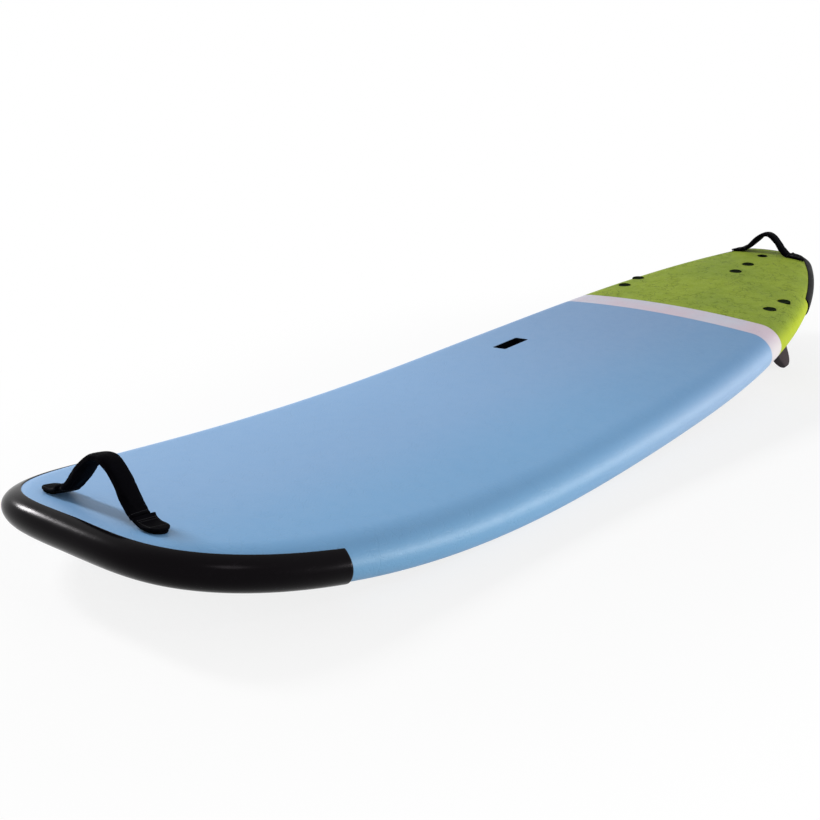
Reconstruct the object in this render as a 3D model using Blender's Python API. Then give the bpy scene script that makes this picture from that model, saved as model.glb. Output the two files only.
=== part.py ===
# Soft-top surfboard: foam core on two stringers, wrapped skins, rubber bumpers, webbing handles,
# a carry recess, a leash plug and three bolt-through fins.
# Board axes: +X to the nose, +Y to port, +Z up, Z = 0 at the lowest point of the level bottom.
# The finished board is then tipped until it stands on its side fins and the belly of its bottom.
import math
import bpy
import bmesh
from mathutils import Matrix, Vector
from mathutils.bvhtree import BVHTree

# Outline, seen from above
LENGTH = 2.440
WIDTH = 0.596
WIDE_POINT = 0.224
NOSE_FULLNESS = 3.27
NOSE_BLUNTNESS = 3.82
TAIL_FULLNESS = 3.05
TAIL_BLUNTNESS = 1.248
TAIL_RUNOUT = 0.117
TAIL_BOW = 0.020
TAIL_CORNER = 0.030
BOW_CURVE = 2.5
NOSE_POINTS = 160
SIDE_POINTS = 200
TAIL_POINTS = 60
CORNER_POINTS = 12

# Rocker and foil, seen from the side
FLAT_POINT = -0.103
NOSE_ROCKER = 0.143
NOSE_CURVE = 2.94
TAIL_ROCKER = 0.071
TAIL_CURVE = 2.08
THICKNESS = 0.090
NOSE_THICKNESS = 0.049
TAIL_THICKNESS = 0.046
CROWN = 0.016
CROWN_FADE = 0.6
FOIL_CURVE = 2.5

# Rail section
RAIL_DECK = 0.0514
RAIL_BOTTOM = 0.0216
RAIL_APEX = 0.42
DECK_ROUND_SHARE = 0.6
BOTTOM_ROUND_SHARE = 0.4
NOSE_FAN = 0.310
TAIL_FAN = 0.155
FAN_SHARE = 0.25
BOTTOM_STEPS = 3
DECK_STEPS = 5
DECK_SPANS = (0.45, 1.0)
BOTTOM_SPANS = (0.5, 1.0)
NOSE_RIBS = 0.040
MIDDLE_RIBS = 0.150
TAIL_RIBS = 0.085
BLOCK_RIBS = 0.032

# Layers and clearances
GAP = 0.0003
OVERSHOOT = 0.02
SEAT = 0.0007
SKIN = 0.005
SLICK = 0.002
STRINGER = 0.005
STRINGER_OFFSET = 0.070

# Stripe across the deck
STRIPE_FROM_TAIL = 0.675
STRIPE_WIDTH = 0.075

# Bumpers
BUMPER_WALL = 0.0032
BUMPER_LIP = 0.0014
BUMPER_SWELL = 0.7
BUMPER_STEPS = 8
BUMPER_WALK = 60
NOSE_BUMPER_REACH = 0.250
NOSE_BUMPER_BAND = (0.074, 0.068)
TAIL_BUMPER_REACH = 0.360
TAIL_BUMPER_BAND = (0.072, 0.062)

# Handles: webbing strap, padded sleeve and two anchor tabs
NOSE_HANDLE_BACK = 0.071
NOSE_HANDLE_INSET = 0.081
NOSE_HANDLE_RISE = 0.0685
NOSE_HANDLE_LEAN = 0.0075
NOSE_HANDLE_TAB = 0.045
TAIL_HANDLE_FORWARD = 0.083
TAIL_HANDLE_INSET = 0.026
TAIL_HANDLE_RISE = 0.0505
TAIL_HANDLE_LEAN = 0.013
TAIL_HANDLE_TAB = 0.038
STRAP_WIDTH = 0.032
STRAP_THICK = 0.0026
STRAP_FOOT = 0.022
SLEEVE_WIDTH = 0.037
SLEEVE_UNDER = 0.0032
SLEEVE_OVER = 0.0050
SLEEVE_PLAY = 0.0006
STRAP_SQUARE = 0.3
PAD_SQUARE = 0.42
ARCH_STEPS = 8
BELL_SHARPNESS = 0.95
FOOT_TURNS = (84.0, 60.0, 30.0, 0.0)
TIP_WIDTH = 0.0015
PATH_STEP = 0.0003
SLEEVE_SETBACK = 0.0012
TAB_WIDTH = 0.040
TAB_THICK = 0.0042
TAB_LIP = 0.0020
TAB_SQUARE = 0.3

# Carry recess
RECESS_BACK = 0.068
RECESS_SIDE = -0.153
RECESS_LENGTH = 0.093
RECESS_WIDTH = 0.032
RECESS_WALL = 0.002
RECESS_DEPTH = 0.044
RECESS_LIP = 0.010
RECESS_UNDERCUT = 0.018
RECESS_ROOF = 0.008
RECESS_CORNER = 0.004
SLOPE_STEP = 0.02

# Leash plug
PLUG_FROM_TAIL = 0.120
PLUG_RADIUS = 0.0135
PLUG_BORE = 0.0105
PLUG_BEVEL = 0.001
PLUG_FILLET = 0.002
PLUG_PROUD = 0.0006
PLUG_DEPTH = 0.022
PLUG_FLOOR = 0.003
PIN_RADIUS = 0.0020
PIN_DOWN = 0.007

# Fins and their through-bolts
BOLT_SPACING = 0.082
SIDE_BOLT_FROM_TAIL = 0.547
SIDE_BOLT_INSET = 0.062
CENTRE_BOLT_FROM_TAIL = 0.2955
TOE_IN = 2.5
CANT = 8.0
HEAD_RADIUS = 0.0158
HEAD_THICK = 0.0044
HEAD_PROUD = 0.0006
FLANGE_THICK = 0.002
SLEEVE_RADIUS = 0.0080
SLEEVE_BORE = 0.0063
BOSS_RADIUS = 0.0060
BOSS_HEIGHT = 0.030
INSERT_RADIUS = 0.0040
INSERT_LENGTH = 0.018
BOLT_RADIUS = 0.0025
BOLT_GRIP = 0.014
FIN_BASE_LENGTH = 0.124
FIN_BASE_WIDTH = 0.020
FIN_BASE_THICK = 0.003
FIN_DEPTH = 0.099
FIN_CHORD = 0.112
FIN_TAPER = 0.35
FIN_RAKE = 0.067
FIN_THICK = 0.009
FIN_STATIONS = (0.0, 0.25, 0.5, 0.7, 0.84, 0.93, 0.98)
FIN_THINNING = 0.6
FIN_TIP_ROUND = 6
FIN_SWEEP_CURVE = 1.5
FIN_LEAD_SHARE = 0.35
FIN_FOIL = ((0.0, 0.0), (0.04, 0.36), (0.16, 0.78), (0.36, 1.0), (0.68, 0.72), (1.0, 0.18))
SLOT_WIDTH = 0.0016
SLOT_DEPTH = 0.0016
SLOT_REACH = 0.008
HEAD_BEVEL = 0.0012
HEAD_DOME = 0.0003

HALF = LENGTH / 2.0 - BUMPER_WALL - GAP
DECK_FOAM = SKIN + GAP

MATERIALS = {
    "foam": ((0.93, 0.93, 0.90, 1.0), 0.85, 0.0),
    "wood": ((0.62, 0.43, 0.24, 1.0), 0.6, 0.0),
    "blue": ((0.22, 0.42, 0.68, 1.0), 0.55, 0.0),
    "stripe": ((0.78, 0.66, 0.72, 1.0), 0.55, 0.0),
    "green": ((0.30, 0.44, 0.06, 1.0), 0.7, 0.0),
    "slick": ((0.80, 0.82, 0.84, 1.0), 0.3, 0.0),
    "bumper": ((0.006, 0.004, 0.007, 1.0), 0.25, 0.0),
    "webbing": ((0.008, 0.008, 0.010, 1.0), 0.8, 0.0),
    "moulding": ((0.010, 0.010, 0.012, 1.0), 0.45, 0.0),
    "fin": ((0.065, 0.052, 0.055, 1.0), 0.45, 0.0),
    "brass": ((0.78, 0.58, 0.28, 1.0), 0.35, 1.0),
    "steel": ((0.62, 0.62, 0.64, 1.0), 0.3, 1.0),
}


def clear_scene():
    for item in list(bpy.data.objects):
        bpy.data.objects.remove(item, do_unlink=True)


def material(key):
    found = bpy.data.materials.get(key)
    if found:
        return found
    colour, rough, metal = MATERIALS[key]
    made = bpy.data.materials.new(key)
    made.use_nodes = True
    shader = made.node_tree.nodes["Principled BSDF"]
    shader.inputs["Base Color"].default_value = colour
    shader.inputs["Roughness"].default_value = rough
    shader.inputs["Metallic"].default_value = metal
    made.diffuse_color = colour
    return made


def finish(name, work, key, parent, smooth_angle=35.0):
    """Turn a bmesh into a named object under its parent."""
    bmesh.ops.remove_doubles(work, verts=work.verts, dist=1e-6)
    bmesh.ops.recalc_face_normals(work, faces=work.faces)
    mesh = bpy.data.meshes.new(name)
    work.to_mesh(mesh)
    work.free()
    mesh.shade_smooth()
    mesh.set_sharp_from_angle(angle=math.radians(smooth_angle))
    made = bpy.data.objects.new(name, mesh)
    bpy.context.collection.objects.link(made)
    mesh.materials.append(material(key))
    made.parent = parent
    return made


def as_guide(item):
    item.hide_render = True
    item.display_type = "WIRE"
    return item


def cut(target, cutter, operation="DIFFERENCE"):
    change = target.modifiers.new(cutter.name, "BOOLEAN")
    change.operation = operation
    change.object = cutter
    return target


def empty(name, parent=None, matrix=None):
    made = bpy.data.objects.new(name, None)
    bpy.context.collection.objects.link(made)
    made.parent = parent
    if matrix is not None:
        made.matrix_local = matrix
    return made


# Shape of the board


def half_width(x):
    half = WIDTH / 2.0
    if x >= WIDE_POINT:
        share = min((x - WIDE_POINT) / (HALF - WIDE_POINT), 1.0)
        return half * (1.0 - share ** NOSE_FULLNESS) ** (1.0 / NOSE_BLUNTNESS)
    share = (WIDE_POINT - x) / (WIDE_POINT + HALF + TAIL_RUNOUT)
    return half * (1.0 - share ** TAIL_FULLNESS) ** (1.0 / TAIL_BLUNTNESS)


def rocker(x):
    ahead = max(x - FLAT_POINT, 0.0) / (HALF - FLAT_POINT)
    behind = max(FLAT_POINT - x, 0.0) / (HALF + FLAT_POINT)
    return NOSE_ROCKER * ahead ** NOSE_CURVE + TAIL_ROCKER * behind ** TAIL_CURVE


def rail_height(x):
    ahead = max(x - FLAT_POINT, 0.0) / (HALF - FLAT_POINT)
    behind = max(FLAT_POINT - x, 0.0) / (HALF + FLAT_POINT)
    middle = THICKNESS - CROWN
    nose_loss = (middle - NOSE_THICKNESS) * ahead ** FOIL_CURVE
    tail_loss = (middle - TAIL_THICKNESS) * behind ** FOIL_CURVE
    return middle - nose_loss - tail_loss


def crown_rise(x, inward, reach):
    high = CROWN * (1.0 - CROWN_FADE * min(abs(x) / HALF, 1.0) ** 2)
    return high * (1.0 - (1.0 - inward / reach) ** 2)


def dense_outline():
    """Close points along the port outline, from the nose tip round to the middle of the tail."""
    points = []
    for step in range(NOSE_POINTS + 1):
        turn = math.radians(90.0 * (1.0 - step / NOSE_POINTS))
        share = math.sin(turn) ** (2.0 / NOSE_FULLNESS)
        side = math.cos(turn) ** (2.0 / NOSE_BLUNTNESS) if step else 0.0
        points.append(Vector((WIDE_POINT + (HALF - WIDE_POINT) * share, WIDTH / 2.0 * side)))
    corner_x = -HALF + TAIL_BOW
    for step in range(1, SIDE_POINTS + 1):
        x = WIDE_POINT + (corner_x - WIDE_POINT) * step / SIDE_POINTS
        points.append(Vector((x, half_width(x))))
    corner = points[-1].copy()
    block = []
    for step in range(1, TAIL_POINTS + 1):
        side = math.cos(math.radians(90.0 * step / TAIL_POINTS))
        block.append(Vector((-HALF + TAIL_BOW * side ** BOW_CURVE, corner.y * side)))
    block[-1].y = 0.0
    points = [point for point in points if (point - corner).length > TAIL_CORNER or point.x > 0.0]
    block = [point for point in block if (point - corner).length > TAIL_CORNER]
    bend = []
    for step in range(1, CORNER_POINTS):
        share = step / CORNER_POINTS
        first = points[-1].lerp(corner, share)
        second = corner.lerp(block[0], share)
        bend.append(first.lerp(second, share))
    return points + bend + block


OUTLINE = dense_outline()
TRAVEL = [0.0]
for index in range(1, len(OUTLINE)):
    TRAVEL.append(TRAVEL[-1] + (OUTLINE[index] - OUTLINE[index - 1]).length)


def outline_at(travel):
    travel = min(max(travel, 0.0), TRAVEL[-1])
    for index in range(1, len(TRAVEL)):
        if TRAVEL[index] >= travel:
            span = TRAVEL[index] - TRAVEL[index - 1]
            return OUTLINE[index - 1].lerp(OUTLINE[index], (travel - TRAVEL[index - 1]) / span)
    return OUTLINE[-1].copy()


def travel_to(x):
    """Distance along the outline to the point of the port side at x."""
    for index in range(1, len(OUTLINE)):
        if OUTLINE[index].x <= x:
            before = OUTLINE[index - 1]
            share = (before.x - x) / (before.x - OUTLINE[index].x)
            return TRAVEL[index - 1] + share * (TRAVEL[index] - TRAVEL[index - 1])
    return TRAVEL[-1]


class Rib:
    """A line across the half board, square to its middle, that fans out at nose and tail."""

    def __init__(self, travel):
        self.travel = travel
        self.edge = outline_at(travel)
        x = self.edge.x
        nose_start = HALF - NOSE_FAN
        tail_start = -HALF + TAIL_FAN
        middle = x
        if x > nose_start:
            middle = nose_start + FAN_SHARE * (x - nose_start)
        if x < tail_start:
            middle = tail_start + FAN_SHARE * (x - tail_start)
        line = Vector((middle, 0.0)) - self.edge
        self.reach = line.length
        self.line = line.normalized()
        self.deck_round = min(RAIL_DECK, self.reach * DECK_ROUND_SHARE)
        self.bottom_round = min(RAIL_BOTTOM, self.reach * BOTTOM_ROUND_SHARE)

    def place(self, inward):
        spot = self.edge + self.line * inward
        if abs(inward - self.reach) < 1e-9:
            spot.y = 0.0
        return spot

    def bottom_curve(self, turn, inset):
        inward = self.bottom_round - (self.bottom_round - inset) * math.sin(turn)
        spot = self.place(inward)
        apex = RAIL_APEX * rail_height(spot.x)
        return Vector((spot.x, spot.y, rocker(spot.x) + apex - (apex - inset) * math.cos(turn)))

    def deck_curve(self, turn, inset):
        inward = self.deck_round - (self.deck_round - inset) * math.cos(turn)
        spot = self.place(inward)
        tall = rail_height(spot.x)
        apex = RAIL_APEX * tall
        rise = (tall - apex - inset) * math.sin(turn) + crown_rise(spot.x, inward, self.reach)
        return Vector((spot.x, spot.y, rocker(spot.x) + apex + rise))

    def deck_flat(self, share, inset):
        inward = self.deck_round + (self.reach - self.deck_round) * share
        spot = self.place(inward)
        top = rail_height(spot.x) - inset + crown_rise(spot.x, inward, self.reach)
        return Vector((spot.x, spot.y, rocker(spot.x) + top))

    def bottom_flat(self, share, start, inset):
        inward = start + (self.reach - start) * share
        spot = self.place(inward)
        return Vector((spot.x, spot.y, rocker(spot.x) + inset))

    def wrap(self, inset):
        """Half section from the bottom edge, round the rail and over the deck to the middle."""
        points = []
        for step in range(BOTTOM_STEPS + 1):
            points.append(self.bottom_curve(math.pi / 2.0 * step / BOTTOM_STEPS, inset))
        for step in range(1, DECK_STEPS + 1):
            points.append(self.deck_curve(math.pi / 2.0 * step / DECK_STEPS, inset))
        for share in DECK_SPANS:
            points.append(self.deck_flat(share, inset))
        return points


def travels(start, end, spacing):
    count = max(1, round((end - start) / spacing))
    return [start + (end - start) * step / count for step in range(count + 1)]


def split_patch(work, corners):
    """Two triangles for a twisted patch, always split from its corner farthest from the middle."""
    outmost = max(range(4), key=lambda number: (round(abs(corners[number].co.y), 3), corners[number].co.x))
    first, second, third, fourth = corners[outmost:] + corners[:outmost]
    work.faces.new((first, second, third))
    work.faces.new((first, third, fourth))


def loft(name, runs, chain_of, key, parent, looped=False):
    """Join the chains of successive ribs, mirror them to starboard and close the ends."""
    chains = [chain_of(Rib(travel)) for travel in runs]
    work = bmesh.new()
    for side in (1.0, -1.0):
        rows = []
        for chain in chains:
            rows.append([work.verts.new((point.x, point.y * side, point.z)) for point in chain])
        count = len(rows[0])
        for ahead, behind in zip(rows, rows[1:]):
            for here in range(count if looped else count - 1):
                there = (here + 1) % count
                split_patch(work, [ahead[here], ahead[there], behind[there], behind[here]])
        for row in (rows[0], rows[-1]):
            if max(abs(vertex.co.y) for vertex in row) < 1e-6:
                continue
            for here in range(count // 2 - 1):
                work.faces.new((row[here], row[here + 1], row[count - 2 - here], row[count - 1 - here]))
    return finish(name, work, key, parent)


def skin_chain(rib):
    return list(reversed(rib.wrap(0.0))) + rib.wrap(SKIN)


def slick_chain(rib):
    start = rib.bottom_round + GAP
    lower = [rib.bottom_flat(0.0, start, 0.0)]
    upper = [rib.bottom_flat(0.0, start, SLICK)]
    for share in BOTTOM_SPANS:
        lower.append(rib.bottom_flat(share, start, 0.0))
        upper.append(rib.bottom_flat(share, start, SLICK))
    return list(reversed(lower)) + upper


def core_chain(rib):
    over = list(reversed(rib.wrap(DECK_FOAM)))
    start = rib.bottom_round + GAP
    under = [rib.bottom_flat(0.0, start, SLICK + GAP)]
    for share in BOTTOM_SPANS:
        under.append(rib.bottom_flat(share, start, SLICK + GAP))
    return over + under


def band_turn(rib, band):
    """Turn on the deck round at which a band of this width, laid up from the bottom edge, ends."""
    last = rib.bottom_curve(0.0, 0.0)
    length = 0.0
    for step in range(1, BUMPER_WALK * 2 + 1):
        turn = math.pi / 2.0 * step / BUMPER_WALK
        if step <= BUMPER_WALK:
            spot = rib.bottom_curve(turn, 0.0)
        else:
            spot = rib.deck_curve(turn - math.pi / 2.0, 0.0)
        length += (spot - last).length
        last = spot
        if length >= band and step > BUMPER_WALK:
            return turn - math.pi / 2.0
    return math.pi / 2.0


def bumper_chain(middle, end, bands):
    """Chains of a rubber band that thins to its lips and narrows from the middle to its ends."""

    def chain(rib):
        share = (rib.travel - middle) / (end - middle)
        reach = band_turn(rib, bands[0] + (bands[1] - bands[0]) * share)
        steps = BOTTOM_STEPS + BUMPER_STEPS
        outer = []
        inner = []
        for step in range(steps + 1):
            swell = math.sin(math.pi * step / steps) ** BUMPER_SWELL
            thick = BUMPER_LIP + (BUMPER_WALL - BUMPER_LIP) * swell
            if step <= BOTTOM_STEPS:
                turn = math.pi / 2.0 * step / BOTTOM_STEPS
                inner.append(rib.bottom_curve(turn, -GAP))
                outer.append(rib.bottom_curve(turn, -GAP - thick))
            else:
                turn = reach * (step - BOTTOM_STEPS) / BUMPER_STEPS
                inner.append(rib.deck_curve(turn, -GAP))
                outer.append(rib.deck_curve(turn, -GAP - thick))
        return outer + list(reversed(inner))

    return chain


# Simple solids


def block(name, low, high, key, parent, matrix=None):
    work = bmesh.new()
    bmesh.ops.create_cube(work, size=1.0)
    centre = (Vector(low) + Vector(high)) / 2.0
    size = Vector(high) - Vector(low)
    bmesh.ops.scale(work, vec=size, verts=work.verts)
    bmesh.ops.translate(work, vec=centre, verts=work.verts)
    made = finish(name, work, key, parent)
    if matrix is not None:
        made.matrix_local = matrix
    return made


def turned(name, profile, key, parent, sides=20, centre=(0.0, 0.0), tube=False):
    """Revolve a profile of (radius, height) points about a vertical line; no corner on its axes."""
    work = bmesh.new()
    rings = []
    for radius, height in profile:
        if radius < 1e-9:
            rings.append([work.verts.new((centre[0], centre[1], height))] * sides)
            continue
        ring = []
        for step in range(sides):
            turn = 2.0 * math.pi * (step + 0.5) / sides
            x = centre[0] + radius * math.cos(turn)
            y = centre[1] + radius * math.sin(turn)
            ring.append(work.verts.new((x, y, height)))
        rings.append(ring)
    pairs = list(zip(rings, rings[1:]))
    if tube:
        pairs.append((rings[-1], rings[0]))
    for first, second in pairs:
        for step in range(sides):
            after = (step + 1) % sides
            corners = []
            for vertex in (first[step], first[after], second[after], second[step]):
                if vertex not in corners:
                    corners.append(vertex)
            work.faces.new(corners)
    return finish(name, work, key, parent)


def rounded_prism(name, length, low_y, high_y, low_z, high_z, corner, key, parent):
    """An upright block with rounded vertical edges, centred on X."""
    work = bmesh.new()
    ring = []
    for centre_x, centre_y, start in (
        (length / 2.0 - corner, high_y - corner, 0.0),
        (-length / 2.0 + corner, high_y - corner, 90.0),
        (-length / 2.0 + corner, low_y + corner, 180.0),
        (length / 2.0 - corner, low_y + corner, 270.0),
    ):
        for step in range(4):
            turn = math.radians(start + 30.0 * step)
            ring.append((centre_x + corner * math.cos(turn), centre_y + corner * math.sin(turn)))
    low = [work.verts.new((x, y, low_z)) for x, y in ring]
    high = [work.verts.new((x, y, high_z)) for x, y in ring]
    count = len(ring)
    for step in range(count):
        after = (step + 1) % count
        work.faces.new((low[step], low[after], high[after], high[step]))
    work.faces.new(list(reversed(low)))
    work.faces.new(high)
    return finish(name, work, key, parent)


# Board body


def body_mesh(item):
    work = bmesh.new()
    work.from_mesh(item.data)
    tree = BVHTree.FromBMesh(work)
    work.free()
    return tree


def build_body(board):
    end = TRAVEL[-1]
    stripe_back = -HALF + STRIPE_FROM_TAIL
    stripe_front = stripe_back + STRIPE_WIDTH
    marks = [0.0]
    marks.append(travel_to(HALF - NOSE_BUMPER_REACH))
    marks.append(travel_to(stripe_front))
    marks.append(travel_to(stripe_back))
    marks.append(travel_to(-HALF + TAIL_BUMPER_REACH))
    marks.append(travel_to(-HALF + TAIL_FAN))
    marks.append(end)
    nose = travels(marks[0], marks[1], NOSE_RIBS)
    middle = travels(marks[1], marks[2], MIDDLE_RIBS)
    stripe = travels(marks[2], marks[3], MIDDLE_RIBS)
    tail = travels(marks[3], marks[4], TAIL_RIBS)
    banded = travels(marks[4], marks[5], TAIL_RIBS) + travels(marks[5], marks[6], BLOCK_RIBS)[1:]
    every = nose + middle[1:] + stripe[1:] + tail[1:] + banded[1:]
    front_runs = nose + middle[1:]
    front_runs[-1] -= GAP / 2.0
    stripe_runs = list(stripe)
    stripe_runs[0] += GAP / 2.0
    stripe_runs[-1] -= GAP / 2.0
    tail_runs = tail + banded[1:]
    tail_runs[0] += GAP / 2.0

    skins = {
        "deck_skin_front": loft("deck_skin_front", front_runs, skin_chain, "blue", board),
        "deck_skin_stripe": loft("deck_skin_stripe", stripe_runs, skin_chain, "stripe", board),
        "deck_skin_tail": loft("deck_skin_tail", tail_runs, skin_chain, "green", board),
        "bottom_skin": loft("bottom_skin", every, slick_chain, "slick", board),
    }
    nose_band = bumper_chain(nose[0], nose[-1], NOSE_BUMPER_BAND)
    tail_band = bumper_chain(banded[-1], banded[0], TAIL_BUMPER_BAND)
    loft("nose_bumper", nose, nose_band, "bumper", board, looped=True)
    loft("tail_bumper", banded, tail_band, "bumper", board, looped=True)

    core = as_guide(loft("core_form", every, core_chain, "foam", board))
    inner = STRINGER_OFFSET - STRINGER / 2.0
    outer = STRINGER_OFFSET + STRINGER / 2.0
    strips = (
        ("foam_core_middle", -inner + GAP, inner - GAP, "foam"),
        ("foam_core_port", outer + GAP, WIDTH, "foam"),
        ("foam_core_starboard", -WIDTH, -outer - GAP, "foam"),
        ("stringer_port", inner, outer, "wood"),
        ("stringer_starboard", -outer, -inner, "wood"),
    )
    pieces = {}
    for name, low, high, key in strips:
        piece = block(name, (-LENGTH, low, -LENGTH), (LENGTH, high, LENGTH), key, board)
        cut(piece, core, "INTERSECT")
        pieces[name] = piece
    return skins, pieces


def deck_trees(skins):
    return [body_mesh(skins[name]) for name in ("deck_skin_front", "deck_skin_stripe", "deck_skin_tail")]


def strike(trees, origin, direction):
    """First point of the deck that a line meets."""
    best = None
    for tree in trees:
        spot, _, _, far = tree.ray_cast(Vector(origin), Vector(direction))
        if spot is not None and (best is None or far < best[0]):
            best = (far, spot)
    return best[1]


def deck_height(trees, x, y):
    return strike(trees, (x, y, THICKNESS * 6.0), (0.0, 0.0, -1.0)).z


# Handles


def oval_ring(half, under, over, power, sides):
    """Points round a strap section, with softly rounded corners."""
    ring = []
    for step in range(sides):
        turn = 2.0 * math.pi * (step + 0.5) / sides
        side = math.copysign(abs(math.cos(turn)) ** power, math.cos(turn))
        rise = math.copysign(abs(math.sin(turn)) ** power, math.sin(turn))
        ring.append((half * side, (over if rise > 0.0 else under) * rise))
    return ring


def sweep(name, frames, rings, key, parent, bores=None):
    """Carry sections along a path; with bores the piece is a tube."""
    work = bmesh.new()
    skins = []
    for sections in (rings, bores):
        if sections is None:
            continue
        rows = []
        for (centre, across, up), section in zip(frames, sections):
            rows.append([work.verts.new(centre + across * side + up * rise) for side, rise in section])
        count = len(rows[0])
        for first, second in zip(rows, rows[1:]):
            for step in range(count):
                after = (step + 1) % count
                work.faces.new((first[step], first[after], second[after], second[step]))
        skins.append(rows)
    if bores is None:
        work.faces.new(skins[0][0])
        work.faces.new(skins[0][-1])
    else:
        for end in (0, -1):
            outer = skins[0][end]
            inner = skins[1][end]
            count = len(outer)
            for step in range(count):
                after = (step + 1) % count
                work.faces.new((outer[step], outer[after], inner[after], inner[step]))
    return finish(name, work, key, parent)


def build_handle(label, board, trees, x, inset, rise, lean, tab_length):
    """A strap whose padded middle stands up in a bell shape, with a tab sewn over each foot."""
    ahead = deck_height(trees, x + STRAP_WIDTH / 2.0, 0.0)
    astern = deck_height(trees, x - STRAP_WIDTH / 2.0, 0.0)
    slope = math.atan2(ahead - astern, STRAP_WIDTH)
    origin = Vector((x, 0.0, (ahead + astern) / 2.0))
    frame = Matrix.Translation(origin) @ Matrix.Rotation(-slope, 4, "Y")
    base = empty(label + "_handle_base", board, frame)
    lengthwise = frame.to_3x3() @ Vector((1.0, 0.0, 0.0))
    upward = frame.to_3x3() @ Vector((0.0, 0.0, 1.0))
    half = STRAP_WIDTH / 2.0

    def ground(side, along=0.0):
        start = origin + lengthwise * along + Vector((0.0, side, 0.0)) + upward * rise * 3.0
        return (strike(trees, start, -upward) - origin).dot(upward)

    end = half_width(x) - inset
    foot = end - STRAP_FOOT
    level = SEAT + STRAP_THICK / 2.0

    def bell(side):
        return (0.5 + 0.5 * math.cos(math.pi * min(abs(side) / foot, 1.0))) ** BELL_SHARPNESS

    def path(side):
        share = bell(side)
        return Vector((lean * share, side, ground(side) * (1.0 - share) + level + rise * share))

    def frames(sides, offset=0.0):
        made = []
        for side in sides:
            along = (path(side + PATH_STEP) - path(side - PATH_STEP)).normalized()
            tip = (ground(side, half) - ground(side, -half)) * (1.0 - bell(side))
            across = Vector((STRAP_WIDTH, 0.0, tip))
            across = (across - along * across.dot(along)).normalized()
            up = across.cross(along)
            made.append((path(side) + up * offset, across, up))
        return made

    def plan_half(side, width, reach):
        over = abs(side) - (reach - width)
        if over <= 0.0:
            return width
        return max(width * math.sqrt(max(1.0 - (over / width) ** 2, 0.0)), TIP_WIDTH)

    tab_half = TAB_WIDTH / 2.0
    tab_start = end - tab_length
    sleeve_end = tab_start - SLEEVE_SETBACK
    spots = [sleeve_end * step / ARCH_STEPS for step in range(ARCH_STEPS + 1)]
    shoulder = min(end - half, foot)
    climb = [tab_start + (shoulder - tab_start) * step / 2.0 for step in range(3)]
    tips = [end - half * (1.0 - math.sin(math.radians(turn))) for turn in FOOT_TURNS]
    positive = sorted(set([round(value, 6) for value in spots + climb + tips]))
    sides = [-value for value in reversed(positive) if value > 0.0] + positive
    rings = []
    for side in sides:
        rings.append(oval_ring(plan_half(side, half, end), STRAP_THICK / 2.0, STRAP_THICK / 2.0,
                               STRAP_SQUARE, 8))
    sweep(label + "_handle_strap", frames(sides), rings, "webbing", base)

    wall = STRAP_THICK / 2.0 + SLEEVE_PLAY
    spots = [-value for value in reversed(spots) if value > 0.0] + spots
    pad = oval_ring(SLEEVE_WIDTH / 2.0, wall + SLEEVE_UNDER, wall + SLEEVE_OVER, PAD_SQUARE, 12)
    outer = [pad] * len(spots)
    bore = [oval_ring(half + SLEEVE_PLAY, wall, wall, STRAP_SQUARE, 12)] * len(spots)
    sweep(label + "_handle_sleeve", frames(spots), outer, "webbing", base, bores=bore)

    middle = STRAP_THICK / 2.0 + SEAT + TAB_THICK / 2.0
    tab_sides = [value for value in positive if value >= tab_start - PATH_STEP]
    for word, sign in (("port", 1.0), ("starboard", -1.0)):
        rings = []
        for side in tab_sides:
            lift = TAB_LIP if side == tab_sides[0] else 0.0
            rings.append(oval_ring(plan_half(side, tab_half, end), TAB_THICK / 2.0,
                                   TAB_THICK / 2.0 + lift, TAB_SQUARE, 12))
        places = frames([side * sign for side in tab_sides], middle)
        sweep(label + "_handle_tab_" + word, places, rings, "webbing", base)


# Carry recess


def deck_frame(trees, x, y):
    """Axes on the deck at a point, with Z square to the surface."""
    step = SLOPE_STEP
    along = Vector((2.0 * step, 0.0, deck_height(trees, x + step, y) - deck_height(trees, x - step, y)))
    across = Vector((0.0, 2.0 * step, deck_height(trees, x, y + step) - deck_height(trees, x, y - step)))
    along.normalize()
    up = along.cross(across).normalized()
    across = up.cross(along)
    frame = Matrix((along, across, up)).transposed().to_4x4()
    frame.translation = Vector((x, y, deck_height(trees, x, y)))
    return frame


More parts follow.
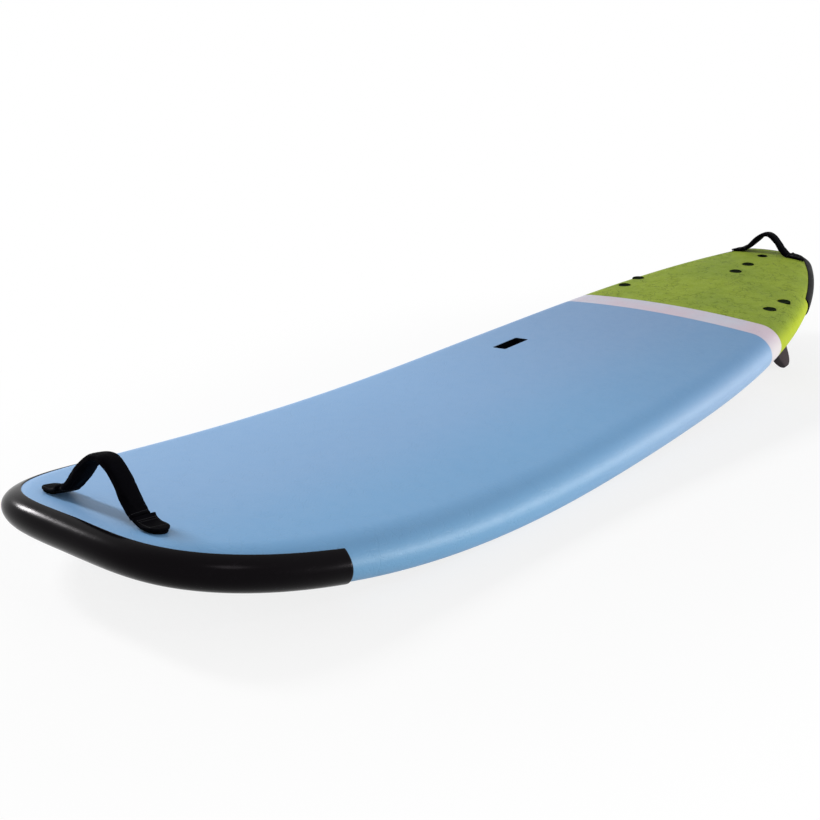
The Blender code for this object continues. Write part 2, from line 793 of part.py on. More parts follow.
def build_recess(board, trees, skins, pieces):
    frame = deck_frame(trees, -RECESS_BACK, RECESS_SIDE)
    seat = empty("carry_recess_seat", board, frame)
    half = RECESS_WIDTH / 2.0
    shelf = -SKIN - 2.0 * GAP
    corner = RECESS_CORNER
    inner = RECESS_LENGTH - 2.0 * RECESS_WALL
    tuck = half + RECESS_UNDERCUT
    deep = -RECESS_DEPTH

    cup = rounded_prism("carry_recess", RECESS_LENGTH, -half, half, shelf - RECESS_WALL / 2.0,
                        -GAP, corner, "moulding", seat)
    lip = as_guide(rounded_prism("recess_lip_form", RECESS_LENGTH + 2.0 * RECESS_LIP,
                                 -half - RECESS_LIP, half + RECESS_LIP,
                                 shelf - RECESS_WALL, shelf, 2.0 * corner, "moulding", seat))
    well = as_guide(rounded_prism("recess_well_form", RECESS_LENGTH, -half, tuck, deep,
                                  shelf - RECESS_WALL / 2.0, corner, "moulding", seat))
    hollow = as_guide(rounded_prism("recess_hollow_form", inner, -half + RECESS_WALL, tuck - RECESS_WALL,
                                    deep + RECESS_WALL, -RECESS_ROOF, corner, "moulding", seat))
    mouth = as_guide(rounded_prism("recess_mouth_form", inner, -half + RECESS_WALL, half - RECESS_WALL,
                                   -RECESS_ROOF * 1.5, OVERSHOOT, corner / 2.0, "moulding", seat))
    cut(cup, lip, "UNION")
    cut(cup, well, "UNION")
    cut(cup, hollow)
    cut(cup, mouth)

    window = as_guide(rounded_prism("recess_window_form", RECESS_LENGTH + 2.0 * GAP, -half - GAP, half + GAP,
                                    -OVERSHOOT, OVERSHOOT, corner + GAP, "moulding", seat))
    cut(skins["deck_skin_front"], window)
    rebate = as_guide(rounded_prism("recess_rebate_form", RECESS_LENGTH + 2.0 * (RECESS_LIP + GAP),
                                    -half - RECESS_LIP - GAP, half + RECESS_LIP + GAP,
                                    shelf - RECESS_WALL - GAP, OVERSHOOT, 2.0 * corner + GAP,
                                    "moulding", seat))
    pit = as_guide(rounded_prism("recess_pit_form", RECESS_LENGTH + 2.0 * GAP, -half - GAP, tuck + GAP,
                                 deep - GAP, OVERSHOOT, corner + GAP, "moulding", seat))
    cut(pieces["foam_core_starboard"], rebate)
    cut(pieces["foam_core_starboard"], pit)


# Leash plug


def build_plug(board, trees, skins, pieces):
    x = -HALF + PLUG_FROM_TAIL
    frame = deck_frame(trees, x, 0.0)
    seat = empty("leash_plug_seat", board, frame)
    floor = -PLUG_DEPTH
    profile = (
        (0.0, floor),
        (PLUG_RADIUS - PLUG_BEVEL, floor),
        (PLUG_RADIUS, floor + PLUG_BEVEL),
        (PLUG_RADIUS, 0.0),
        (PLUG_RADIUS - PLUG_BEVEL, PLUG_PROUD),
        (PLUG_BORE, 0.0),
        (PLUG_BORE, floor + PLUG_FLOOR + PLUG_FILLET),
        (PLUG_BORE - PLUG_FILLET, floor + PLUG_FLOOR),
        (0.0, floor + PLUG_FLOOR),
    )
    cup = turned("leash_plug", profile, "moulding", seat, sides=24)
    length = PLUG_RADIUS - GAP
    across = Matrix.Translation((0.0, 0.0, -PIN_DOWN)) @ Matrix.Rotation(math.radians(90.0), 4, "X")
    hole = as_guide(turned("leash_pin_hole_form",
                           ((0.0, -OVERSHOOT), (PIN_RADIUS + GAP, -OVERSHOOT),
                            (PIN_RADIUS + GAP, OVERSHOOT), (0.0, OVERSHOOT)),
                           "steel", seat, sides=12))
    hole.matrix_local = across
    cut(cup, hole)
    pin = turned("leash_pin",
                 ((0.0, -length), (PIN_RADIUS, -length), (PIN_RADIUS, length), (0.0, length)),
                 "steel", seat, sides=12)
    pin.matrix_local = across
    socket = as_guide(turned("leash_socket_form",
                             ((0.0, floor - GAP), (PLUG_RADIUS + GAP, floor - GAP),
                              (PLUG_RADIUS + GAP, OVERSHOOT), (0.0, OVERSHOOT)),
                             "steel", seat, sides=24))
    cut(skins["deck_skin_tail"], socket)
    cut(pieces["foam_core_middle"], socket)


# Fins


def fin_blade(name, parent, cant):
    """A raked blade of foil sections that shrink to a rounded tip."""
    work = bmesh.new()
    rows = []
    start = -GAP - FIN_BASE_THICK / 2.0
    for share in FIN_STATIONS:
        chord = FIN_CHORD * (1.0 - FIN_TAPER * share) * math.sqrt(1.0 - share ** FIN_TIP_ROUND)
        thick = FIN_THICK * (1.0 - FIN_THINNING * share)
        lead = FIN_CHORD * FIN_TAPER * share * FIN_LEAD_SHARE
        front = FIN_CHORD / 2.0 - FIN_RAKE * share ** FIN_SWEEP_CURVE - lead
        front -= (FIN_CHORD * (1.0 - FIN_TAPER * share) - chord) / 2.0
        drop = start - (FIN_DEPTH + start) * share / FIN_STATIONS[-1]
        row = []
        for along, wide in FIN_FOIL:
            row.append((front - chord * along, thick / 2.0 * wide))
        ring = row + [(x, -y) for x, y in reversed(row[1:])]
        lean = math.tan(cant) * drop
        rows.append([work.verts.new((x, y - lean, drop)) for x, y in ring])
    count = len(rows[0])
    for first, second in zip(rows, rows[1:]):
        for step in range(count):
            after = (step + 1) % count
            work.faces.new((first[step], first[after], second[after], second[step]))
    work.faces.new(rows[0])
    work.faces.new(rows[-1])
    return finish(name, work, "fin", parent)


def fin_base(name, parent):
    """The foot plate that lies on the bottom, with round ends."""
    half = FIN_BASE_WIDTH / 2.0
    return rounded_prism(name, FIN_BASE_LENGTH, -half, half, -GAP - FIN_BASE_THICK, -GAP,
                         half - GAP, "fin", parent)


def build_fin(label, board, trees, skins, pieces, front_x, side, core_name):
    toe = math.radians(TOE_IN) * (-1.0 if side > 0.0 else 1.0 if side < 0.0 else 0.0)
    cant = math.radians(CANT) * (1.0 if side > 0.0 else -1.0 if side < 0.0 else 0.0)
    x = front_x - BOLT_SPACING / 2.0
    slope = math.atan2(rocker(x + SLOPE_STEP) - rocker(x - SLOPE_STEP), 2.0 * SLOPE_STEP)
    frame = Matrix.Translation((x, side, rocker(x))) @ Matrix.Rotation(-slope, 4, "Y")
    frame = frame @ Matrix.Rotation(toe, 4, "Z")
    seat = empty(label + "_seat", board, frame)
    up = (frame.to_3x3() @ Vector((0.0, 0.0, 1.0))).normalized()

    fin = fin_base(label, seat)
    blade = as_guide(fin_blade(label + "_blade_form", seat, cant))
    cut(fin, blade, "UNION")
    for word, spot in (("front", BOLT_SPACING / 2.0), ("rear", -BOLT_SPACING / 2.0)):
        tag = label + "_" + word
        centre = (spot, 0.0)
        foot = frame @ Vector((spot, 0.0, 0.0))
        deck = (strike(trees, foot + up * THICKNESS * 3.0, -up) - foot).dot(up)
        top = deck + HEAD_PROUD
        under = top - HEAD_THICK
        ledge = under - GAP - FLANGE_THICK

        root = -GAP - FIN_BASE_THICK / 2.0
        boss = as_guide(turned(tag + "_boss_form",
                               ((0.0, root), (BOSS_RADIUS, root),
                                (BOSS_RADIUS, BOSS_HEIGHT), (0.0, BOSS_HEIGHT)),
                               "fin", seat, sides=16, centre=centre))
        cut(fin, boss, "UNION")
        floor = BOSS_HEIGHT - INSERT_LENGTH - GAP
        well = as_guide(turned(tag + "_well_form",
                               ((0.0, floor - GAP), (INSERT_RADIUS + GAP, floor - GAP),
                                (INSERT_RADIUS + GAP, BOSS_HEIGHT + OVERSHOOT),
                                (0.0, BOSS_HEIGHT + OVERSHOOT)),
                               "fin", seat, sides=12, centre=centre))
        cut(fin, well)
        turned(tag + "_insert",
               ((BOLT_RADIUS + GAP, floor), (INSERT_RADIUS, floor),
                (INSERT_RADIUS, floor + INSERT_LENGTH), (BOLT_RADIUS + GAP, floor + INSERT_LENGTH)),
               "brass", seat, sides=12, centre=centre, tube=True)
        turned(tag + "_sleeve",
               ((SLEEVE_BORE, 0.0), (SLEEVE_RADIUS, 0.0), (SLEEVE_RADIUS, ledge), (HEAD_RADIUS, ledge),
                (HEAD_RADIUS, ledge + FLANGE_THICK), (SLEEVE_BORE, ledge + FLANGE_THICK)),
               "moulding", seat, sides=16, centre=centre, tube=True)
        tip = BOSS_HEIGHT - BOLT_GRIP
        bolt = turned(tag + "_bolt",
                      ((0.0, tip), (BOLT_RADIUS, tip), (BOLT_RADIUS, under), (HEAD_RADIUS, under),
                       (HEAD_RADIUS, top - HEAD_BEVEL), (HEAD_RADIUS - HEAD_BEVEL, top),
                       (0.0, top + HEAD_DOME)),
                      "moulding", seat, sides=20, centre=centre)
        slot = as_guide(block(tag + "_slot_form", (spot - SLOT_WIDTH / 2.0, -SLOT_REACH, top - SLOT_DEPTH),
                              (spot + SLOT_WIDTH / 2.0, SLOT_REACH, top + OVERSHOOT), "moulding", seat))
        cut(bolt, slot)
        bore = as_guide(turned(tag + "_bore_form",
                               ((0.0, -OVERSHOOT), (SLEEVE_RADIUS + GAP, -OVERSHOOT),
                                (SLEEVE_RADIUS + GAP, ledge - GAP), (HEAD_RADIUS + GAP, ledge - GAP),
                                (HEAD_RADIUS + GAP, top + OVERSHOOT), (0.0, top + OVERSHOOT)),
                               "foam", seat, sides=20, centre=centre))
        cut(skins["bottom_skin"], bore)
        cut(skins["deck_skin_tail"], bore)
        cut(pieces[core_name], bore)


# Stance


def world_points():
    """World positions of every piece's evaluated points, guides left out."""
    graph = bpy.context.evaluated_depsgraph_get()
    points = []
    for item in bpy.context.scene.objects:
        if item.type != "MESH" or item.hide_render:
            continue
        shown = item.evaluated_get(graph)
        points += [shown.matrix_world @ vertex.co for vertex in shown.data.vertices]
    return points


def stance_angle(points):
    """Nose-down tilt that brings the side fin tips and the belly to one level."""
    behind = [point for point in points if point.x < FLAT_POINT]
    ahead = [point for point in points if point.x >= FLAT_POINT]
    low, high = 0.0, math.radians(15.0)
    for _ in range(40):
        tilt = (low + high) / 2.0
        rear = min(point.z * math.cos(tilt) - point.x * math.sin(tilt) for point in behind)
        front = min(point.z * math.cos(tilt) - point.x * math.sin(tilt) for point in ahead)
        if rear < front:
            low = tilt
        else:
            high = tilt
    return (low + high) / 2.0


def stand(board):
    bpy.context.view_layer.update()
    tilt = stance_angle(world_points())
    board.rotation_euler = (0.0, tilt, 0.0)
    bpy.context.view_layer.update()
    points = world_points()
    low = Vector([min(point[axis] for point in points) for axis in range(3)])
    high = Vector([max(point[axis] for point in points) for axis in range(3)])
    middle = (low + high) / 2.0
    board.location = (-middle.x, -middle.y, -low.z)
    bpy.context.view_layer.update()
    print("tilt in degrees", round(math.degrees(tilt), 3))
    print("board origin in the world", tuple(round(value, 5) for value in board.location))
    print("overall size", tuple(round(value, 4) for value in high - low))


def main():
    clear_scene()
    board = empty("board_datum")
    skins, pieces = build_body(board)
    trees = deck_trees(skins)
    build_handle("nose", board, trees, HALF - NOSE_HANDLE_BACK, NOSE_HANDLE_INSET,
                 NOSE_HANDLE_RISE, NOSE_HANDLE_LEAN, NOSE_HANDLE_TAB)
    build_handle("tail", board, trees, -HALF + TAIL_HANDLE_FORWARD, TAIL_HANDLE_INSET,
                 TAIL_HANDLE_RISE, TAIL_HANDLE_LEAN, TAIL_HANDLE_TAB)
    build_recess(board, trees, skins, pieces)
    build_plug(board, trees, skins, pieces)
    side_front = -HALF + SIDE_BOLT_FROM_TAIL
    side = half_width(side_front) - SIDE_BOLT_INSET
    build_fin("fin_port", board, trees, skins, pieces, side_front, side, "foam_core_port")
    build_fin("fin_starboard", board, trees, skins, pieces, side_front, -side, "foam_core_starboard")
    centre_front = -HALF + CENTRE_BOLT_FROM_TAIL
    build_fin("fin_centre", board, trees, skins, pieces, centre_front, 0.0, "foam_core_middle")
    stand(board)


main()
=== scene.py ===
# Soft-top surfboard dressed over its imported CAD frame: studio, skins, bumpers, handles, fittings and fins.
# Everything is laid out in the board's own axes (nose +X, port +Y, deck +Z) and then stood in the world.
import bpy
import bmesh
import bisect
from math import atan2, copysign, cos, exp, pi, radians, sin, sqrt, tan, tau
from mathutils import Matrix, Vector, noise
from mathutils.bvhtree import BVHTree


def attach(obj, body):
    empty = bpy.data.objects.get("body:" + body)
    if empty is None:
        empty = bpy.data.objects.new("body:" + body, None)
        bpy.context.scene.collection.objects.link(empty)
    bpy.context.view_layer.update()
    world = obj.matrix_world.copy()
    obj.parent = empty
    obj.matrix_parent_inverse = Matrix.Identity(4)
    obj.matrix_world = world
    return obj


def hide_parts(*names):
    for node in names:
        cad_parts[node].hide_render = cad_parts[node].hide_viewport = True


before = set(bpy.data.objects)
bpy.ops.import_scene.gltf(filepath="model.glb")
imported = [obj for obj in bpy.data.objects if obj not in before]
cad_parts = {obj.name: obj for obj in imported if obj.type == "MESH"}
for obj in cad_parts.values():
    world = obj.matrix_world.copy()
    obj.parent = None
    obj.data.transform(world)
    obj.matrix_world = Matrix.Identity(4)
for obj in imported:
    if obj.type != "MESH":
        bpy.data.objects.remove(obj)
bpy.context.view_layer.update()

stance = dict(tilt=4.06904, origin=(-0.009054, 0.0, 0.021101))   # tipped on its side fins and belly
boardPlace = Matrix.Translation(stance["origin"]) @ Matrix.Rotation(radians(stance["tilt"]), 4, "Y")
upward = Vector((0.0, 0.0, 1.0))
sharpAngle, softAngle = 38.0, 60.0   # degrees at which an edge shows, on hard and on soft pieces
tiny = 1e-9
weld = 1e-6


# Small helpers

def makeObject(name, data):
    made = bpy.data.objects.new(name, data)
    bpy.context.collection.objects.link(made)
    return made


def meshOf(name, work):
    mesh = bpy.data.meshes.new(name)
    work.to_mesh(mesh)
    work.free()
    return mesh


def finishPiece(name, work, coat, stands, sharp=sharpAngle):
    bmesh.ops.recalc_face_normals(work, faces=work.faces)
    bmesh.ops.transform(work, matrix=boardPlace, verts=work.verts)
    mesh = meshOf(name, work)
    mesh.shade_smooth()
    mesh.set_sharp_from_angle(angle=radians(sharp))
    mesh.materials.append(coat)
    return declare(makeObject(name, mesh), stands)


def declare(piece, stands=()):
    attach(piece, "root")
    if stands:
        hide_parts(*stands)
    return piece


def plainMesh(piece):
    graph = bpy.context.evaluated_depsgraph_get()
    baked = bpy.data.meshes.new_from_object(piece.evaluated_get(graph), depsgraph=graph)
    piece.modifiers.clear()
    piece.data = baked


def bridge(work, first, second, looped=True):
    for here in range(len(first) if looped else len(first) - 1):
        there = (here + 1) % len(first)
        corners = (first[here], first[there], second[there], second[here])
        work.faces.new(list(dict.fromkeys(corners)))   # a corner on the axis of a lathe comes once


def quilt(work, rows, layer):
    for first, second in zip(rows, rows[1:]):
        for here in range(len(first)):
            there = (here + 1) % len(first)
            corners = (first[here], first[there], second[there], second[here])
            face = work.faces.new([vertex for vertex, _ in corners])
            for loop, (_, mark) in zip(face.loops, corners):
                loop[layer].uv = mark


def runningLengths(points):
    lengths = [0.0]
    for first, second in zip(points, points[1:]):
        lengths.append(lengths[-1] + (second - first).length)
    return lengths


def steps(start, end, count):
    return [start + (end - start) * step / count for step in range(count + 1)]


def runs(start, end, spacing):
    return steps(start, end, max(1, round((end - start) / spacing)))


def quarterRound(share, least, depth=1.0):
    return sqrt(max(1.0 - (1.0 - min(share, 1.0)) ** 2 * depth, least))


# Shader maths as Python expressions

class Wire:
    def __init__(self, tree, socket):
        self.tree = tree
        self.socket = socket

    def maths(self, operation, *values):
        return makeNode(self.tree, "ShaderNodeMath", {"operation": operation}, dict(enumerate(values)))

    __add__ = __radd__ = lambda self, other: self.maths("ADD", self, other)
    __mul__ = __rmul__ = lambda self, other: self.maths("MULTIPLY", self, other)
    __sub__ = lambda self, other: self.maths("SUBTRACT", self, other)
    __rsub__ = lambda self, other: self.maths("SUBTRACT", other, self)

    def wave(self, pitch):
        return self.maths("SINE", self * (tau / pitch))

    def power(self, other):
        return self.maths("POWER", self, other)

    def most(self, other):
        return self.maths("MAXIMUM", self, other)

    def ramp(self, low, high):
        return makeNode(self.tree, "ShaderNodeMapRange", {"interpolation_type": "SMOOTHSTEP"},
                        {0: self, 1: low, 2: high})


def plug(tree, value, socket):
    if isinstance(value, Wire):
        tree.links.new(value.socket, socket)
    else:
        socket.default_value = (*value, 1.0) if socket.type == "RGBA" else value


def makeNode(tree, kind, settings=None, inputs=None, output=0):
    made = tree.nodes.new(kind)
    for key, value in (settings or {}).items():
        setattr(made, key, value)
    for key, value in (inputs or {}).items():
        plug(tree, value, made.inputs[key])
    return Wire(tree, made.outputs[output])


class Finish:
    def __init__(self, name, gloss=0.5, **fixed):
        self.material = bpy.data.materials.new(name)
        self.material.use_nodes = True
        self.tree = self.material.node_tree
        self.shader = self.tree.nodes["Principled BSDF"]
        for socket, value in (("Specular_IOR_Level", gloss), *fixed.items()):
            plug(self.tree, value, self.shader.inputs[socket.replace("_", " ")])
        self.place = self.space("Object")

    def node(self, kind, settings=None, inputs=None, output=0):
        return makeNode(self.tree, kind, settings, inputs, output)

    def space(self, kind):
        return self.node("ShaderNodeTexCoord", output=kind)

    def noise(self, scale, detail=2.0, rough=0.5, vector=None, warp=0.0, output=0):
        return self.node("ShaderNodeTexNoise", None, {
            "Vector": vector or self.place, "Scale": scale, "Detail": detail, "Roughness": rough,
            "Distortion": warp}, output)

    def streaks(self, scale, detail, rough, warp=0.0):
        drawn = self.node("ShaderNodeMapping", inputs={"Vector": self.place, "Scale": scale})
        return self.noise(1.0, detail, rough, drawn, warp)

    def warped(self, scale, amount):
        swirl = self.noise(scale, output="Color")
        middle = self.node("ShaderNodeVectorMath", {"operation": "SUBTRACT"}, {0: swirl, 1: (0.5, 0.5, 0.5)})
        return self.node("ShaderNodeVectorMath", {"operation": "MULTIPLY_ADD"},
                         {0: middle, 1: (amount, amount, amount), 2: self.place})

    def cells(self, scale, feature="F1", vector=None):
        return self.node("ShaderNodeTexVoronoi", {"feature": feature},
                         {"Vector": vector or self.place, "Scale": scale}, "Distance")

    def mix(self, share, first, second, blend="MIX"):
        return self.node("ShaderNodeMix", {"data_type": "RGBA", "blend_type": blend},
                         {0: share, 6: first, 7: second}, 2)   # the colour sockets

    def split(self, vector):
        made = self.tree.nodes.new("ShaderNodeSeparateXYZ")
        plug(self.tree, vector, made.inputs[0])
        return [Wire(self.tree, socket) for socket in made.outputs]

    def cover(self, share, first, second, rough, *bumps):
        plug(self.tree, self.mix(share, first, second), self.shader.inputs["Base Color"])
        plug(self.tree, rough, self.shader.inputs["Roughness"])
        lower = {}
        for height, distance, strength in bumps:
            relief = self.node("ShaderNodeBump", inputs={
                "Height": height, "Distance": distance, "Strength": strength, **lower})
            lower = {"Normal": relief}
            plug(self.tree, relief, self.shader.inputs["Normal"])
        return self.material


# Materials

white = (1.0, 1.0, 1.0)
deckFoam = dict(
    blue=dict(
        base=(0.190, 0.372, 0.636), shade=(0.170, 0.345, 0.616), deep=(0.13, 0.24, 0.42),
        # the rail colours are painted sheen and light on the rail
        rail=(0.250, 0.392, 0.590), noseRailSheen=(0.175, 0.412, 0.670),
        # the tail tint is painted shade towards the tail; the port tint makes the base darker and less red towards
        # port
        paintedTailShade=(0.70, 0.72, 0.76), portTint=(0.80, 0.97, 0.99),
        mottle=0.18, crackle=0.08, fleck=0.08, gloss=0.50, uneven=0.03, satin=0.44),
    stripe=dict(
        base=(0.60, 0.60, 0.68), shade=(0.68, 0.51, 0.57), deep=(0.38, 0.30, 0.38),
        # the rail colour is painted sheen on the rail; the tail tint is painted shade towards the tail
        rail=(0.62, 0.58, 0.58), paintedTailShade=(0.97, 0.98, 1.0),
        mottle=0.65, crackle=0.14, fleck=0.10, gloss=0.16, uneven=0.06, satin=0.52),
    green=dict(
        base=(0.302, 0.388, 0.043), shade=(0.226, 0.314, 0.045),
        # the rail colour is painted light on the rail
        deep=(0.085, 0.13, 0.016), rail=(0.41, 0.49, 0.024),
        mottle=0.65, crackle=0.66, fleck=0.50, gloss=0.06, uneven=0.12, satin=0.54),
)


def foamSkinFinish(name):
    look = deckFoam[name]
    coat = Finish(name + "FoamSkin", look["gloss"])
    cloud = coat.noise(6.0, 3.0).ramp(0.34, 0.68)
    patch = coat.noise(48.0, 3.0, 0.55).ramp(0.35, 0.70)
    grain = coat.noise(620.0, rough=0.6)
    bent = coat.warped(46.0, 0.010)
    broken = coat.noise(30.0).ramp(0.42, 0.60)
    coarse = 1.0 - coat.cells(72.0, "DISTANCE_TO_EDGE", bent).ramp(0.015, 0.085)
    fine = 1.0 - coat.cells(190.0, "DISTANCE_TO_EDGE", bent).ramp(0.02, 0.12)
    crackle = (coarse * broken).most(fine * 0.35)
    fleck = coat.noise(240.0, rough=0.7).ramp(0.60, 0.74)
    base = coat.mix(cloud * look["mottle"], look["base"], look["shade"])
    base = coat.mix(patch * (0.06 + 0.28 * look["crackle"]), base, look["shade"])
    base = coat.mix((crackle * look["crackle"]).most(fleck * look["fleck"]), base, look["deep"])
    x, y, _ = coat.split(coat.place)   # painted shade: the base darkens towards the tail, where less light falls; towards port it turns a little darker and less red
    base = coat.mix(1.0 - x.ramp(-0.52, 0.42), base, look.get("paintedTailShade", white), "MULTIPLY")
    base = coat.mix(y.ramp(-0.02, 0.22), base, look.get("portTint", white), "MULTIPLY")
    facing = coat.split(coat.space("Normal"))[2]
    railSheenShare = 1.0 - facing.ramp(0.30, 0.93)   # painted sheen: where the normal turns sideways the base gives way to the paler rail colour, which stands in for light and sheen on the rail
    # the rail's painted sheen runs from a paler colour at the tail to a deeper one near the nose
    rail = coat.mix(x.ramp(-0.25, 0.75), look["rail"], look.get("noseRailSheen", look["rail"]))
    return coat.cover(
        railSheenShare * 0.85, base, rail, look["satin"] + look["uneven"] * patch + 0.08 * grain,
        (grain, 0.00022, 0.35), (coat.cells(430.0), 0.0004, 0.30),
        (1.0 - crackle, 0.0004 + 0.0008 * look["crackle"], 0.5))


def rubberFinish(name, gloss, rough):
    coat = Finish(name, gloss, Specular_Tint=(1.0, 0.90, 0.98))
    smear = coat.noise(14.0, 4.0, 0.6).ramp(0.35, 0.75)
    dust = coat.noise(260.0, 3.0, 0.7).ramp(0.60, 0.80)
    scuff = coat.streaks((22.0, 160.0, 90.0), 4.0, 0.65).ramp(0.58, 0.72)
    return coat.cover(
        dust * 0.12 + scuff * 0.10, (0.0012, 0.0008, 0.0014), (0.014, 0.012, 0.015),
        rough + 0.07 * smear + 0.06 * scuff,
        (coat.noise(520.0), 0.00012, 0.25), (coat.noise(30.0, 3.0), 0.0010, 0.06))


def mouldedFinish(name, base, pale, grainSize):
    coat = Finish(name, 0.003)
    grain = coat.cells(grainSize)
    wear = coat.noise(90.0, 4.0, 0.65).ramp(0.48, 0.72)
    return coat.cover(
        wear * 0.4 + grain * 0.2, base, pale, 0.42 + 0.14 * wear, (grain, 0.00018, 0.35), (wear, 0.0003, 0.15))


def metalFinish(name, base, dull, rough):
    coat = Finish(name, Metallic=1.0)
    drawn = coat.streaks((300.0, 4000.0, 300.0), 3.0, 0.6)
    return coat.cover(drawn, base, dull, rough + 0.18 * drawn, (drawn, 0.00006, 0.4))


coat = Finish("handleWebbing", 0.012)
across, along, _ = coat.split(coat.space("UV"))
weave = along.wave(0.0019) * across.wave(0.0022)
thread = coat.noise(900.0, rough=0.6)
# the weave's crests are painted lighter, a painted highlight, and are also made less rough
shine = weave.ramp(-0.2, 1.0)
handleWebbing = coat.cover(
    shine * 0.5 + thread * 0.2, (0.0011, 0.0010, 0.0018), (0.0062, 0.0060, 0.0085),
    0.72 - 0.16 * shine, (weave, 0.0004, 0.7), (thread, 0.0002, 0.4))

coat = Finish("sleeveCloth", 0.012)
across, along, _ = coat.split(coat.space("UV"))
knit = along.wave(0.0013) * across.wave(0.0013)
lint = coat.noise(700.0, 3.0, 0.7)
soft = coat.noise(60.0, 3.0, 0.6).ramp(0.35, 0.7)
sleeveCloth = coat.cover(
    soft * 0.5 + lint * 0.2, (0.0008, 0.0007, 0.0014), (0.0036, 0.0034, 0.0052),
    0.60 + 0.15 * soft, (knit, 0.00022, 0.5), (soft, 0.0012, 0.25))

coat = Finish("stitchThread", 0.2)
twist = coat.noise(2400.0, 1.0)
stitchThread = coat.cover(
    twist, (0.012, 0.012, 0.014), (0.034, 0.034, 0.038), 0.5 + 0.2 * twist, (twist, 0.0002, 0.5))

coat = Finish("finPlastic", 0.014)
chord = coat.split(coat.space("UV"))[0]
flow = coat.streaks((40.0, 40.0, 180.0), 3.0, 0.6)
leading = 1.0 - (chord + 0.05 * (flow - 0.5)).ramp(0.28, 0.40)
body = coat.mix(flow.ramp(0.35, 0.65), (0.039, 0.030, 0.033), (0.049, 0.039, 0.042))
finPlastic = coat.cover(
    leading * 0.85, body, (0.008, 0.006, 0.008), 0.42 - 0.12 * leading + 0.10 * flow,
    (coat.cells(800.0), 0.00012, 0.3), (flow, 0.0006, 0.12))

coat = Finish("slickBottom", IOR=1.5)
drift = coat.noise(5.0, 3.0, 0.6).ramp(0.35, 0.7)
brushed = coat.streaks((3.0, 900.0, 900.0), 4.0, 0.7)
slickSheet = coat.cover(
    drift * 0.5 + brushed * 0.2, (0.72, 0.74, 0.76), (0.62, 0.645, 0.67),
    0.26 + 0.10 * brushed + 0.06 * drift, (brushed, 0.0002, 0.2), (coat.noise(12.0), 0.004, 0.06))

coat = Finish("beadFoam")
bead = coat.cells(260.0, "DISTANCE_TO_EDGE").ramp(0.0, 0.10)
beadFoam = coat.cover(
    bead, (0.70, 0.70, 0.67), (0.86, 0.86, 0.83), 0.85 - 0.10 * bead, (bead, 0.0008, 0.6))

coat = Finish("stringerPly")
grain = coat.streaks((6.0, 160.0, 160.0), 5.0, 0.7, 0.6)
layer = coat.split(coat.place)[2].wave(0.003).ramp(-0.3, 0.3)
wood = coat.mix(grain.ramp(0.35, 0.65), (0.62, 0.43, 0.24), (0.44, 0.27, 0.13))
stringerPly = coat.cover(
    layer * 0.25, wood, (0.30, 0.17, 0.08), 0.55 + 0.2 * grain, (grain, 0.0004, 0.4))

blueSkin, stripeSkin, greenSkin = (foamSkinFinish(name) for name in deckFoam)
noseRubber = rubberFinish("noseRubber", 0.064, 0.18)
tailRubber = rubberFinish("tailRubber", 0.007, 0.34)
blackPlastic = mouldedFinish("blackMoulding", (0.0030, 0.0034, 0.0050), (0.012, 0.012, 0.015), 700.0)
boltPlastic = mouldedFinish("boltMoulding", (0.0034, 0.0076, 0.0008), (0.0075, 0.0130, 0.0028), 1100.0)
brassMetal = metalFinish("insertBrass", (0.78, 0.58, 0.28), (0.62, 0.44, 0.20), 0.28)
steelMetal = metalFinish("pinSteel", (0.66, 0.66, 0.68), (0.50, 0.50, 0.53), 0.22)
print("materials made")


# Shape of the board: outline, rocker and the ribs that carry every skin

hull = dict(
    length=2.440, width=0.596, widePoint=0.224,
    noseFull=3.27, noseBlunt=3.82, tailFull=3.05, tailBlunt=1.248,
    tailRunout=0.117, tailBow=0.020, tailCorner=0.030, bowCurve=2.5,
    flatPoint=-0.103, noseRocker=0.143, noseCurve=2.94, tailRocker=0.071, tailCurve=2.08,
    thick=0.090, noseThick=0.049, tailThick=0.046, crown=0.016, crownFade=0.6, foil=2.5,
    railDeck=0.0514, railBottom=0.0216, apex=0.42, deckShare=0.6, bottomShare=0.4,
    noseFan=0.310, tailFan=0.155, fanShare=0.25, tailFine=0.17,
    gap=0.0003, skin=0.005, slick=0.002, bumperRoom=0.0032,
    stripeFromTail=0.675, stripeWidth=0.075,
)
hullHalf = hull["length"] / 2.0 - hull["bumperRoom"] - hull["gap"]   # the bumper stands proud of the skins
outlineSteps = dict(nose=160, side=200, tail=60, corner=12)
girthSteps = dict(bottom=8, rail=18, deck=16, slick=14)
ribStep = dict(fine=0.008, body=0.014, bottomFine=0.012, bottomBody=0.02)


def halfWidth(x):
    half = hull["width"] / 2.0
    if x >= hull["widePoint"]:
        share = min((x - hull["widePoint"]) / (hullHalf - hull["widePoint"]), 1.0)
        return half * (1.0 - share ** hull["noseFull"]) ** (1.0 / hull["noseBlunt"])
    share = (hull["widePoint"] - x) / (hull["widePoint"] + hullHalf + hull["tailRunout"])
    return half * (1.0 - share ** hull["tailFull"]) ** (1.0 / hull["tailBlunt"])


def reachShares(x):
    ahead = max(x - hull["flatPoint"], 0.0) / (hullHalf - hull["flatPoint"])
    behind = max(hull["flatPoint"] - x, 0.0) / (hullHalf + hull["flatPoint"])
    return ahead, behind


def rocker(x):
    ahead, behind = reachShares(x)
    return hull["noseRocker"] * ahead ** hull["noseCurve"] + hull["tailRocker"] * behind ** hull["tailCurve"]


def railHeight(x):
    ahead, behind = reachShares(x)
    middle = hull["thick"] - hull["crown"]
    loss = (middle - hull["noseThick"]) * ahead ** hull["foil"] + (middle - hull["tailThick"]) * behind ** hull["foil"]
    return middle - loss


def crownRise(x, inward, reach):
    high = hull["crown"] * (1.0 - hull["crownFade"] * min(abs(x) / hullHalf, 1.0) ** 2)
    return high * (1.0 - (1.0 - inward / reach) ** 2)


